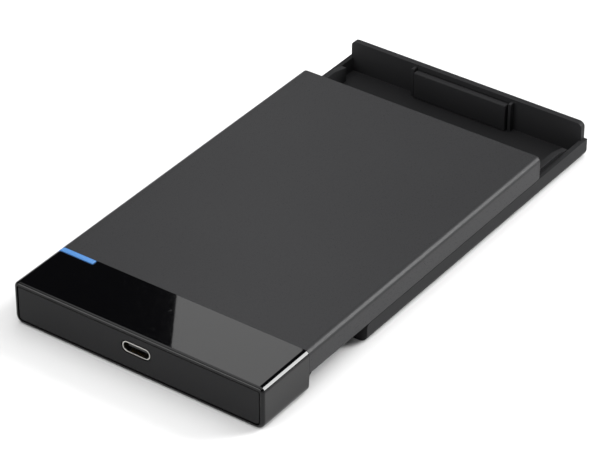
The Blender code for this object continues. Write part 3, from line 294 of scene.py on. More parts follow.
@dataclass(frozen=True)
class PolishedPlastic(Finish):
    """Plastic from a mirror-polished tool: a clear reflection, with a few handling hairlines."""

    hairline: float = 9 * MM
    crossings: float = 16.0
    hairline_share: float = 0.012
    scuff: float = 0.1

    def marks(self, tree: Tree, place: Socket) -> Socket:
        """The gentle waviness of a moulded face.

        Args:
            tree: The material's node tree.
            place: Where on the piece, in metres.

        Returns:
            The socket that gives the height.
        """
        size = {"Vector": place, "Scale": 1 / self.mark, "Detail": 1.0}
        return add(tree, "ShaderNodeTexNoise", size).outputs["Fac"]

    def dress(self, tree: Tree, shader: Node, place: Socket) -> None:
        """Give the shader its colour and waviness, and a shine that the hairlines break.

        Args:
            tree: The material's node tree.
            shader: The Principled shader.
            place: Where on the piece, in metres.
        """
        tree.links.new(self.tint(tree, place), shader.inputs["Base Color"])
        self.press(tree, shader, self.marks(tree, place))
        size = {"Vector": place, "Scale": 1 / self.hairline, "Detail": 2.0}
        bent = add(tree, "ShaderNodeTexNoise", size)
        size = {"Vector": bent.outputs["Color"], "Scale": self.crossings}
        lines = add(tree, "ShaderNodeTexVoronoi", size, feature="DISTANCE_TO_EDGE")
        near = {"Value": lines.outputs["Distance"], "From Max": self.hairline_share}
        near |= {"To Min": self.roughness + self.scuff, "To Max": self.roughness}
        rough = add(tree, "ShaderNodeMapRange", near)
        tree.links.new(rough.outputs[0], shader.inputs["Roughness"])


@dataclass(frozen=True)
class LightGuide(Finish):
    """Tinted clear plastic with light in it, which glows along its middle."""

    glow: str = "#9cc4e6"
    strength: float = 0.13
    spread: tuple[float, float, float] = (0.4, 0.7, 1.0)
    edge_glow: float = 0.25
    haze: float = 0.35
    haze_depth: float = 1.0 * MM

    def dress(self, tree: Tree, shader: Node, place: Socket) -> None:
        """Add the light that the guide carries.

        Args:
            tree: The material's node tree.
            shader: The Principled shader.
            place: Where on the piece, in metres.
        """
        super().dress(tree, shader, place)
        shader.inputs["Subsurface Weight"].default_value = self.haze
        shader.inputs["Subsurface Scale"].default_value = self.haze_depth
        shader.inputs["Subsurface Radius"].default_value = self.spread
        low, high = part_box("light_pipe")
        across = add(tree, "ShaderNodeSeparateXYZ", {"Vector": place}).outputs["Y"]
        span = {"Value": across, "From Min": low.y, "From Max": high.y, "To Min": -1.0}
        share = add(tree, "ShaderNodeMapRange", span)
        fold = add(tree, "ShaderNodeMath", {0: share.outputs[0]}, operation="ABSOLUTE")
        fade = {"Value": fold.outputs[0], "To Min": 1.0, "To Max": self.edge_glow}
        ramp = add(tree, "ShaderNodeMapRange", fade)
        glow = blend(tree, ramp.outputs[0], linear(self.colour), linear(self.glow))
        tree.links.new(glow, shader.inputs["Emission Color"])
        shader.inputs["Emission Strength"].default_value = self.strength


@dataclass(frozen=True)
class Laminate(Finish):
    """Glass-fibre board under solder mask: tracks show as paler green, and vias as tinned dots."""

    track_colour: str = "#2f6a45"
    via_colour: str = "#b9b39a"
    track: float = 0.7 * MM
    via_spacing: float = 3.2 * MM
    via_share: float = 0.1
    track_gap: float = 0.22
    track_length: float = 9.0
    stagger: float = 0.35
    via_scatter: float = 0.8

    def dress(self, tree: Tree, shader: Node, place: Socket) -> None:
        """Lay tracks and vias over the board's colour.

        Args:
            tree: The material's node tree.
            shader: The Principled shader.
            place: Where on the piece, in metres.
        """
        level = {"Vector": place, "Scale": (1.0, 1.0, 0.0)}
        flat = add(tree, "ShaderNodeMapping", level).outputs[0]
        tracks = add(
            tree,
            "ShaderNodeTexBrick",
            {
                "Vector": flat,
                "Color1": linear(self.track_colour),
                "Color2": linear(self.colour),
                "Mortar": linear(self.patch_colour),
                "Scale": 1.0,
                "Mortar Size": self.track_gap * self.track,
                "Brick Width": self.track_length * self.track,
                "Row Height": self.track,
            },
            offset=self.stagger,
        )
        size = {"Vector": flat, "Scale": 1 / self.via_spacing, "Randomness": self.via_scatter}
        dots = add(tree, "ShaderNodeTexVoronoi", size)
        near = {"Value": dots.outputs["Distance"], "To Min": 1.0, "To Max": 0.0}
        near |= {"From Min": 0.9 * self.via_share, "From Max": self.via_share}
        tin = add(tree, "ShaderNodeMapRange", near).outputs[0]
        colour = blend(tree, tin, tracks.outputs["Color"], linear(self.via_colour))
        tree.links.new(colour, shader.inputs["Base Color"])
        tree.links.new(tin, shader.inputs["Metallic"])
        sunk = {0: tracks.outputs["Fac"], 1: -1.0}
        height = add(tree, "ShaderNodeMath", sunk, operation="MULTIPLY")
        self.press(tree, shader, height.outputs[0])
        shader.inputs["Roughness"].default_value = self.roughness


@dataclass(frozen=True)
class Wound(Finish):
    """Enamelled copper wire wound in layers: each turn is a small rib that catches the light."""

    centre: str = "voice_coil"

    def marks(self, tree: Tree, place: Socket) -> Socket:
        """The turns, as ribs round the coil's middle on its faces and level ribs on its sides.

        Args:
            tree: The material's node tree.
            place: Where on the piece, in metres.

        Returns:
            The socket that gives the height.
        """
        low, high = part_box(self.centre)
        middle = (low + high) / 2
        local = add(tree, "ShaderNodeMapping", {"Vector": place, "Location": -middle}).outputs[0]
        size = {"Vector": local, "Scale": 1 / (math.pi * self.mark)}
        rings = add(tree, "ShaderNodeTexWave", size, wave_type="RINGS", rings_direction="Z")
        levels = add(tree, "ShaderNodeTexWave", size, wave_type="BANDS", bands_direction="Z")
        pair = {0: rings.outputs["Fac"], 1: levels.outputs["Fac"]}
        return add(tree, "ShaderNodeMath", pair, operation="MULTIPLY").outputs[0]


@dataclass(frozen=True)
class Turned(Finish):
    """Metal turned on a spindle: faint rings round its axis stretch each highlight to a fan."""

    axis: str = "platter_upper"
    chatter: float = 1.5

    def marks(self, tree: Tree, place: Socket) -> Socket:
        """The rings that the tool leaves.

        Args:
            tree: The material's node tree.
            place: Where on the piece, in metres.

        Returns:
            The socket that gives the height.
        """
        low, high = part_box(self.axis)
        middle = (low + high) / 2
        local = add(tree, "ShaderNodeMapping", {"Vector": place, "Location": -middle}).outputs[0]
        size = {"Vector": local, "Scale": 1 / (math.pi * self.mark)}
        size |= {"Distortion": self.chatter, "Detail": 2.0}
        rings = add(tree, "ShaderNodeTexWave", size, wave_type="RINGS", rings_direction="Z")
        return rings.outputs["Fac"]


class Finishes:
    """Every finish on the drive."""

    # Injection-moulded ABS with a spark-eroded grain: soft, even dark grey with a pale edge sheen.
    MATTE_ABS = SparkedPlastic(
        "spark_grained_ABS", "#2c2c2d", "#2f2f30", 0.31, 0.34 * MM, 0.007 * MM, patch=40 * MM,
        wander=0.05, specular=0.1,
    )
    # Injection-moulded ABS from a finer tool, with a satin sheen; darker, as painted shade that
    # offsets the front softbox falling full on the panel.
    PANEL_ABS_PAINTED_SHADE = SparkedPlastic(
        "panel_ABS_painted_shade", "#111112", "#141415", 0.4, 0.22 * MM, 0.005 * MM, patch=30 * MM, wander=0.05,
        specular=0.15,
    )
    # The same ABS from the tray's tool, left as moulded, with a wide dull sheen; its black is
    # lightened as painted light, standing in for the front light on the bay wall.
    TRAY_PLASTIC_PAINTED_LIGHT = SparkedPlastic(
        "tray_ABS_painted_light", "#232324", "#262627", 0.5, 0.22 * MM, 0.005 * MM, patch=30 * MM,
        wander=0.05, specular=0.07,
    )
    # High-gloss ABS and PMMA blend: deep black that mirrors the lights.
    GLOSS_ABS = PolishedPlastic(
        "piano_black_ABS", "#030304", "#040405", 0.015, 26 * MM, 0.004 * MM, patch=60 * MM,
        specular=0.25,
    )
    # Polycarbonate light guide, tinted blue and lit from below.
    LIGHT_GUIDE = LightGuide(
        "tinted_polycarbonate", "#3a6ca6", "#4377b2", 0.22, 0.5 * MM, 0.004 * MM, wander=0.04
    )
    # Deep-drawn stainless steel with bright nickel plate: faint draw lines along the tube.
    NICKEL = Finish(
        "nickel_plated_steel", "#c9c8c4", "#b4b3ae", 0.18, 0.25 * MM, 0.002 * MM, metallic=1.0,
        grain=Grain.ALONG,
    )
    # Zinc-plated machine screws: turned, slightly uneven.
    STEEL = Finish(
        "zinc_plated_steel", "#a5a6a8", "#8f9194", 0.34, 0.3 * MM, 0.004 * MM, patch=2 * MM,
        metallic=1.0,
    )
    # Stamped stainless sheet: long rolling lines.
    ROLLED_STEEL = Finish(
        "rolled_stainless_steel", "#b0b2b4", "#9ea0a3", 0.3, 0.5 * MM, 0.003 * MM, metallic=1.0,
        grain=Grain.ALONG,
    )
    # Die-cast aluminium, tumbled: pale grey with a leathery skin.
    CAST_ALUMINIUM = Finish(
        "die_cast_aluminium", "#aeb0b2", "#94979a", 0.46, 0.7 * MM, 0.02 * MM, patch=9 * MM,
        wander=0.08, metallic=1.0,
    )
    # Platter with a sputtered magnetic film and a carbon overcoat: a clear grey mirror.
    MIRROR_DISK = Turned(
        "sputtered_platter", "#b9bdc2", "#adb1b7", 0.035, 0.6 * MM, 0.0001 * MM, wander=0.015,
        metallic=1.0,
    )
    # Turned aluminium of the hub and clamp.
    TURNED_ALUMINIUM = Turned(
        "turned_aluminium", "#c2c4c6", "#aeb0b3", 0.24, 0.3 * MM, 0.004 * MM, wander=0.06,
        metallic=1.0,
    )
    # Enamelled copper wire.
    COPPER = Wound(
        "enamelled_copper_wire", "#b3622f", "#8f4a22", 0.3, 0.24 * MM, 0.05 * MM, patch=3 * MM,
        metallic=1.0,
    )
    # Sintered neodymium magnet with nickel plate: bright, with soft pits.
    MAGNET = Finish(
        "nickel_plated_neodymium", "#9a9a9e", "#87878c", 0.24, 0.5 * MM, 0.008 * MM, metallic=1.0
    )
    # Glass-fibre laminate with green solder mask.
    BOARD = Laminate(
        "solder_masked_laminate", "#1c5233", "#123c25", 0.34, 0.7 * MM, 0.02 * MM, coat=0.3
    )
    # Moulded epoxy over a chip: dull, with a fine sandy skin.
    EPOXY = Finish("moulded_epoxy", "#191a1b", "#222324", 0.55, 0.12 * MM, 0.006 * MM, patch=4 * MM)
    # Glass-filled liquid-crystal polymer of the connectors: black with short flow streaks.
    CONNECTOR = Finish(
        "glass_filled_polymer", "#151516", "#1e1e20", 0.42, 0.3 * MM, 0.006 * MM, grain=Grain.ACROSS
    )
    # Fired ceramic of the small capacitors, tan between its tinned ends.
    CERAMIC = Finish(
        "fired_ceramic", "#a88a62", "#97794f", 0.5, 0.1 * MM, 0.006 * MM, patch=0.8 * MM
    )
    # White diffusing epoxy of the small lamp.
    LAMP = Finish(
        "diffusing_epoxy", "#e8ecf2", "#dbe2ec", 0.3, 0.3 * MM, 0.004 * MM, patch=1.5 * MM
    )
    # Low-friction acetal of the head ramp: waxy off-white.
    ACETAL = Finish(
        "moulded_acetal", "#e6e2d6", "#d8d3c4", 0.38, 0.25 * MM, 0.004 * MM, patch=3 * MM
    )
    # Hard gold flash over nickel on every contact.
    GOLD = Finish(
        "gold_flashed_contact", "#d8b25a", "#c29a45", 0.22, 0.12 * MM, 0.001 * MM, patch=1 * MM,
        metallic=1.0,
    )
    # Reflowed tin solder: bright beads with a frosty skin.
    TIN = Finish(
        "reflowed_tin", "#c3c5c6", "#a9abad", 0.3, 0.1 * MM, 0.004 * MM, patch=1 * MM, metallic=1.0
    )
    # Sprayed studio floor.
    FLOOR = Finish(
        "painted_floor", "#e6e6e6", "#e3e3e3", 0.8, 30 * MM, 0.0, patch=400 * MM, wander=0.02,
        specular=0.1,
    )


def select_only(obj: Object) -> None:
    """Make one object the only one that the next operator works on."""
    bpy.ops.object.select_all(action="DESELECT")
    obj.select_set(True)
    bpy.context.view_layer.objects.active = obj


def select_faces(obj: Object, wanted: FaceTest) -> None:
    """Select the faces that a test picks, and nothing else.

    Args:
        obj: The piece, in object mode.
        wanted: Takes a face's centre and its normal, and says whether the face is wanted.
    """
    bpy.ops.object.mode_set(mode="EDIT")
    bpy.ops.mesh.select_mode(type="FACE")
    bpy.ops.mesh.select_all(action="DESELECT")
    bpy.ops.object.mode_set(mode="OBJECT")
    for face in obj.data.polygons:
        face.select = wanted(face.center, face.normal)
    bpy.ops.object.mode_set(mode="EDIT")


def apply(obj: Object, kind: str, **settings: object) -> None:
    """Add a modifier to a piece and make it part of the mesh.

    Args:
        obj: The piece.
        kind: Blender's name for the modifier.
        settings: The modifier's properties.
    """
    select_only(obj)
    modifier = obj.modifiers.new(kind.title(), kind)
    for name, value in settings.items():
        setattr(modifier, name, value)
    bpy.ops.object.modifier_apply(modifier=modifier.name)


def break_edges(
    obj: Object, width: float, segments: int = 2, spare: EdgeTest | None = None
) -> None:
    """Take the sharpness off a piece's edges and shade its flat faces flat.

    Args:
        obj: The piece.
        width: How far the break reaches from the edge.
        segments: Steps across the break.
        spare: Takes an edge's middle, and says whether the edge stays sharp.
    """
    select_only(obj)
    if width > 0:
        bpy.ops.object.mode_set(mode="EDIT")
        bpy.ops.mesh.select_mode(type="EDGE")
        bpy.ops.mesh.select_all(action="DESELECT")
        bpy.ops.mesh.edges_select_sharp(sharpness=math.radians(SHARP_CORNER))
        bpy.ops.object.mode_set(mode="OBJECT")
        corners = obj.data.vertices
        for edge in obj.data.edges:
            middle = (corners[edge.vertices[0]].co + corners[edge.vertices[1]].co) / 2
            edge.select = edge.select and not (spare and spare(middle))
        # A face that stays picked would pick its spared edges again.
        for face in obj.data.polygons:
            face.select = False
        bpy.ops.object.mode_set(mode="EDIT")
        bpy.ops.mesh.bevel(offset=width, segments=segments, miter_outer="ARC", clamp_overlap=False)
        bpy.ops.object.mode_set(mode="OBJECT")
    bpy.ops.object.shade_smooth_by_angle(angle=math.radians(SMOOTH_CORNER))
    apply(obj, "WEIGHTED_NORMAL", keep_sharp=True, weight=80)


def finish_piece(obj: Object, finish: Finish, body: str) -> Object:
    """Dress a piece, hang it on its body and report it.

    Args:
        obj: The piece, with its place in its mesh.
        finish: What it is made of.
        body: The body that carries it.

    Returns:
        The piece.
    """
    obj.data.materials.clear()
    obj.data.materials.append(finish.material())
    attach(obj, body)
    LOG.info("%s: %s, %d faces", obj.name, finish.name, len(obj.data.polygons))
    return obj


def refined(
    node: str,
    name: str,
    finish: Finish,
    edge: float = 0.1 * MM,
    shape: Shaping | None = None,
    spare: EdgeTest | None = None,
) -> Object:
    """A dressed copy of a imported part, with whole faces, broken edges and a finished surface.

    Args:
        node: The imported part.
        name: The new piece.
        finish: What it is made of.
        edge: The break on its edges.
        shape: Work on the merged copy before its edges are broken.
        spare: Takes an edge's middle, and says whether the edge stays sharp.

    Returns:
        The new piece, which stands for the part.
    """
    source = frame["nodes"][node]
    obj = bpy.data.objects.new(name, source.data.copy())
    bpy.context.scene.collection.objects.link(obj)
    select_only(obj)
    bpy.ops.object.mode_set(mode="EDIT")
    bpy.ops.mesh.select_all(action="SELECT")
    bpy.ops.mesh.customdata_custom_splitnormals_clear()
    bpy.ops.mesh.remove_doubles(threshold=SAME_PLACE)
    bpy.ops.mesh.dissolve_limited(angle_limit=math.radians(FLAT))
    bpy.ops.object.mode_set(mode="OBJECT")
    if shape:
        shape(obj)
    break_edges(obj, edge, spare=spare)
    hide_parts(node)
    return finish_piece(obj, finish, source["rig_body"])


def block(name: str, low: Vector, high: Vector) -> Object:
    """Start a piece as a box between two corners.

    Args:
        name: The piece.
        low: Its lowest corner.
        high: Its highest corner.

    Returns:
        The piece, with its place in its mesh.
    """
    bpy.ops.object.select_all(action="DESELECT")
    bpy.ops.mesh.primitive_cube_add(size=1.0, location=(low + high) / 2, scale=high - low)
    obj = bpy.context.object
    obj.name = obj.data.name = name
    bpy.ops.object.transform_apply(location=True, rotation=True, scale=True)
    return obj


@dataclass(frozen=True)
class DriverCross:
    """The cross in a screw's head, as shares of the head's radius."""

    reach: float = 0.55
    blade: float = 0.11
    depth: float = 0.14
    head_share: float = 0.6
    end: float = 0.1 * MM

    def cut(self, obj: Object) -> None:
        """Cut the cross that the driver fits.

        Args:
            obj: The screw, upright or upside down, with its head wider than its shank.
        """
        points = [vertex.co for vertex in obj.data.vertices]
        low = Vector([min(point[axis] for point in points) for axis in range(3)])
        high = Vector([max(point[axis] for point in points) for axis in range(3)])
        middle, radius = (low + high) / 2, (high.x - low.x) / 2
        near_top = [point for point in points if point.z > high.z - self.end]
        widest = max((point - middle).xy.length for point in near_top)
        level = high.z if widest > self.head_share * radius else low.z
        centre = Vector((middle.x, middle.y, level))
        arms = ((self.reach, self.blade), (self.blade, self.reach))
        cutters = []
        for wide, deep in arms:
            half = Vector((wide * radius, deep * radius, self.depth * radius))
            cutters.append(block("driver_cross", centre - half, centre + half))
        for cutter in cutters:
            apply(obj, "BOOLEAN", operation="DIFFERENCE", solver="EXACT", object=cutter)
            bpy.data.objects.remove(cutter)


def repeated(obj: Object, steps: list[Vector]) -> Object:
    """Copy a piece to several places, each copy with its own mesh, and join them to one.

    Args:
        obj: The first one, where it lies.
        steps: How far each copy lies from it, without the first.

    Returns:
        The joined piece.
    """
    copies = []
    for step in steps:
        copy = obj.copy()
        copy.data = obj.data.copy()
        copy.data.transform(Matrix.Translation(step))
        bpy.context.scene.collection.objects.link(copy)
        copies.append(copy)
    select_only(obj)
    for copy in copies:
        copy.select_set(True)
    if copies:
        bpy.ops.object.join()
    return obj


@dataclass
class Enclosure:
    """The moulded outside: cover, gloss block, front panel and light guide."""

    edge: float = 0.14 * MM
    seam_overlap: float = 0.04 * MM
    skin: float = 0.55 * MM
    front_band: float = 0.5 * MM
    fillet_run: float = 1.2 * MM
    feather: float = 0.21 * MM

    def inside(self, middle: Vector) -> bool:
        """Whether an edge is within the cover, where a step is lower than a break is wide.

        Args:
            middle: The edge's middle.

        Returns:
            True where the edge stays sharp.
        """
        low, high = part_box("cover_shell")
        between = abs(middle.x) < high.x - self.skin and middle.y < high.y - self.edge
        return between and low.z + self.edge < middle.z < high.z - self.skin

    def close_seam(self, obj: Object) -> None:
        """Bring the cover's front face up to the gloss block, so that no light shows between them.

        Args:
            obj: The cover.
        """
        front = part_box("cover_shell")[0].y
        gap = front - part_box("light_pipe")[1].y
        band = front + self.front_band
        select_faces(obj, lambda centre, normal: normal.y < -FACING and centre.y < band)
        bpy.ops.transform.translate(value=(0, self.seam_overlap - gap, 0))
        bpy.ops.object.mode_set(mode="OBJECT")

    def feathered(self, middle: Vector) -> bool:
        """Whether an edge is on the fillet that runs out under the cover, too thin to break.

        Args:
            middle: The edge's middle.

        Returns:
            True where the edge stays sharp.
        """
        at_back = middle.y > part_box("light_pipe")[1].y - self.feather
        return at_back and middle.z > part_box("cover_shell")[0].z - self.fillet_run

    def build(self) -> None:
        """Make and dress the outside."""
        refined(
            "cover_shell", "cover_moulding", Finishes.MATTE_ABS,
            self.edge, self.close_seam, self.inside,
        )
        refined(
            "front_cap", "gloss_block_moulding", Finishes.GLOSS_ABS,
            self.edge, spare=self.feathered,
        )
        # The front panel's darker colour is painted shade against the front softbox.
        plain = (
            ("front_panel", "front_panel_moulding", Finishes.PANEL_ABS_PAINTED_SHADE, "satin_black_plastic"),
            ("light_pipe", "light_guide_moulding", Finishes.LIGHT_GUIDE, "blue_light_guide"),
        )
        for node, name, finish, slot in plain:
            refined(node, name, finish, self.edge)


@dataclass
class Port:
    """The reversible data port: a drawn shell round a tongue with contacts on both faces."""

    tongue_thickness: float = 0.7 * MM
    contacts: int = 12
    pitch: float = 0.5 * MM
    pad_width: float = 0.25 * MM
    pad_length: float = 3.2 * MM
    pad_height: float = 0.03 * MM
    setback: float = 0.6 * MM
    pad_edge: float = 0.02 * MM

    def build(self) -> None:
        """Make and dress the port."""
        refined("usb_c_shell", "port_shell", Finishes.NICKEL, 0.06 * MM)
        refined("usb_c_tongue", "port_tongue", Finishes.CONNECTOR, 0.06 * MM)
        shell_low, shell_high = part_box("usb_c_shell")
        middle = (shell_low + shell_high) / 2
        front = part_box("usb_c_tongue")[0].y + self.setback
        first = middle.x - (self.contacts - 1) / 2 * self.pitch
        half = self.pad_width / 2
        for name, side in (("upper", 1), ("lower", -1)):
            face = middle.z + side * self.tongue_thickness / 2
            levels = sorted((face - side * self.pad_height, face + side * self.pad_height))
            low = Vector((first - half, front, levels[0]))
            high = Vector((first + half, front + self.pad_length, levels[1]))
            pads = block(f"port_contacts_{name}", low, high)
            break_edges(pads, self.pad_edge, 1)
            steps = [Vector((step * self.pitch, 0, 0)) for step in range(1, self.contacts)]
            pads = repeated(pads, steps)
            finish_piece(pads, Finishes.GOLD, "enclosure")


@dataclass
class Tray:
    """The tray and the bracket that stops the drive in it."""

    edge: float = 0.14 * MM

    def build(self) -> None:
        """Make and dress the tray."""
        # The tray's lightened colour is painted light on its bay wall.
        refined("tray", "tray_moulding", Finishes.TRAY_PLASTIC_PAINTED_LIGHT, self.edge)
        refined("drive_stop", "stop_bracket", Finishes.TRAY_PLASTIC_PAINTED_LIGHT, self.edge)


@dataclass
class BridgeBoard:
    """The board between the port and the drive, with its parts."""

    edge: float = 0.05 * MM
    resistor: Vector = field(default_factory=lambda: Vector((1.0, 0.5, 0.35)) * MM)
    resistors: int = 6
    resistor_pitch: float = 1.05 * MM
    chip_gap: float = 1.2 * MM
    solder_lift: float = 0.03 * MM
    terminal: Vector = field(default_factory=lambda: Vector((0.22, 0.02, 0.02)) * MM)
    terminal_edge: float = 0.04 * MM
    tails: int = 22
    tail_pitch: float = 1.27 * MM
    tail: Vector = field(default_factory=lambda: Vector((0.5, 1.2, 0.25)) * MM)
    tail_lift: float = 0.02 * MM
    tail_tip: float = 0.4

    def chip_resistors(self) -> None:
        """Solder a row of chip resistors beside the controller."""
        chip_low, chip_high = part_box("bridge_chip")
        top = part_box("bridge_board")[1].z
        start = Vector(
            (chip_high.x + self.chip_gap, chip_low.y + self.resistor.y, top + self.solder_lift)
        )
        steps = [Vector((0, step * self.resistor_pitch, 0)) for step in range(1, self.resistors)]
        bodies = block("chip_resistors", start, start + self.resistor)
        break_edges(bodies, self.edge)
        finish_piece(repeated(bodies, steps), Finishes.EPOXY, "enclosure")
        cap = self.terminal
        low = start - Vector((cap.y / 2, cap.y, cap.z))
        high = start + Vector((cap.x, self.resistor.y + cap.y, self.resistor.z + cap.z))
        ends = block("resistor_terminals", low, high)
        break_edges(ends, self.terminal_edge)
        far = Vector((self.resistor.x - cap.x, 0, 0))
        ends = repeated(ends, [*steps, far, *(step + far for step in steps)])
        finish_piece(ends, Finishes.TIN, "enclosure")

    def receptacle_tails(self) -> None:
        """Solder the receptacle's tails, each thinner at its tip."""
        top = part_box("bridge_board")[1].z
        body_low, body_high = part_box("sata_receptacle")
        first = (body_low.x + body_high.x) / 2 - (self.tails - 1) / 2 * self.tail_pitch
        low = Vector((first - self.tail.x / 2, body_low.y - self.tail.y, top + self.tail_lift))
        tails = block("receptacle_tails", low, low + self.tail)
        select_faces(tails, lambda centre, normal: normal.y < -FACING)
        bpy.ops.transform.resize(value=(1, 1, self.tail_tip), center_override=tuple(low))
        bpy.ops.object.mode_set(mode="OBJECT")
        break_edges(tails, self.edge)
        steps = [Vector((step * self.tail_pitch, 0, 0)) for step in range(1, self.tails)]
        finish_piece(repeated(tails, steps), Finishes.TIN, "enclosure")

    def build(self) -> None:
        """Make and dress the board."""
        refined("bridge_board", "bridge_laminate", Finishes.BOARD, 0.05 * MM)
        refined("bridge_chip", "bridge_chip_body", Finishes.EPOXY, 0.06 * MM)
        refined("crystal", "crystal_can", Finishes.NICKEL, 0.12 * MM)
        for index in (1, 2):
            name = f"board_capacitor_{index}"
            refined(name, f"ceramic_capacitor_{index}", Finishes.CERAMIC, 0.06 * MM)
        for side in ("left", "right"):
            node, name = f"board_screw_{side}", f"bridge_screw_{side}"
            refined(node, name, Finishes.STEEL, 0.08 * MM, DriverCross().cut)
        refined("indicator_lamp", "lamp_lens", Finishes.LAMP, 0.1 * MM)
        refined(
            "sata_receptacle", "drive_receptacle", Finishes.CONNECTOR, 0.08 * MM
        )
        self.chip_resistors()
        self.receptacle_tails()


@dataclass
class DriveCase:
    """The drive's own case, its lid, board and screws."""

    def build(self) -> None:
        """Make and dress the case."""
        refined("drive_base", "drive_casting", Finishes.CAST_ALUMINIUM, 0.12 * MM)
        refined("drive_lid", "drive_cover_plate", Finishes.ROLLED_STEEL, 0.1 * MM)
        for index in range(1, 7):
            node, name = f"lid_screw_{index}", f"cover_plate_screw_{index}"
            refined(node, name, Finishes.STEEL, 0.06 * MM, DriverCross().cut)
        refined(
            "drive_circuit_board", "drive_laminate", Finishes.BOARD, 0.05 * MM
        )
        for index in range(1, 4):
            node, name = f"drive_board_screw_{index}", f"laminate_screw_{index}"
            refined(node, name, Finishes.STEEL, 0.05 * MM, DriverCross().cut)
        for node in ("controller_chip", "memory_chip", "motor_driver_chip"):
            refined(node, f"{node}_body", Finishes.EPOXY, 0.05 * MM)
        refined("sata_plug", "drive_plug", Finishes.CONNECTOR, 0.08 * MM)
        refined("air_filter", "air_filter_pad", Finishes.ACETAL, 0.15 * MM)
        refined("flex_socket", "flex_lead_socket", Finishes.CONNECTOR, 0.08 * MM)


@dataclass
class DiskStack:
    """The platters on their motor."""

    def build(self) -> None:
        """Make and dress the stack."""
        refined("spindle_hub", "motor_hub", Finishes.TURNED_ALUMINIUM, 0.08 * MM)
        refined("spindle_shaft", "motor_shaft", Finishes.STEEL, 0.08 * MM)
        refined("motor_stator", "motor_windings", Finishes.COPPER, 0.1 * MM)
        for level in ("lower", "upper"):
            node, name = f"platter_{level}", f"{level}_platter"
            refined(node, name, Finishes.MIRROR_DISK, 0.08 * MM)
        for node, name in (("platter_spacer", "spacer_ring"), ("platter_clamp", "clamp_disk")):
            refined(
                node, f"platter_{name}", Finishes.TURNED_ALUMINIUM, 0.06 * MM
            )
        for index in range(1, 4):
            node, name = f"clamp_screw_{index}", f"clamp_disk_screw_{index}"
            refined(node, name, Finishes.STEEL, 0.05 * MM, DriverCross().cut)


@dataclass
class HeadArm:
    """The arm that carries the heads, its bearing, and the magnets that swing it."""

    def build(self) -> None:
        """Make and dress the arm."""
        refined(
            "actuator_arm", "head_arm_casting", Finishes.CAST_ALUMINIUM, 0.08 * MM
        )
        refined("pivot_bearing", "head_arm_bearing", Finishes.STEEL, 0.06 * MM)
        refined("pivot_shaft", "head_arm_shaft", Finishes.STEEL, 0.06 * MM)
        refined("voice_coil", "voice_coil_winding", Finishes.COPPER, 0.15 * MM)
        for index in range(1, 5):
            name = f"head_suspension_{index}"
            refined(name, f"suspension_spring_{index}", Finishes.ROLLED_STEEL, 0.0)
        for level in ("lower", "upper"):
            node, name = f"yoke_{level}", f"{level}_yoke_plate"
            refined(node, name, Finishes.NICKEL, 0.06 * MM)
            node, name = f"magnet_{level}", f"{level}_magnet"
            refined(node, name, Finishes.MAGNET, 0.1 * MM)
        refined("load_ramp", "head_load_ramp", Finishes.ACETAL, 0.05 * MM)


@dataclass(frozen=True)
class Softbox:
    """A wide soft light: where its middle hangs, its two sides in metres, and its glow."""

    name: str
    middle: tuple[float, float, float]
    size: tuple[float, float]
    glow: float


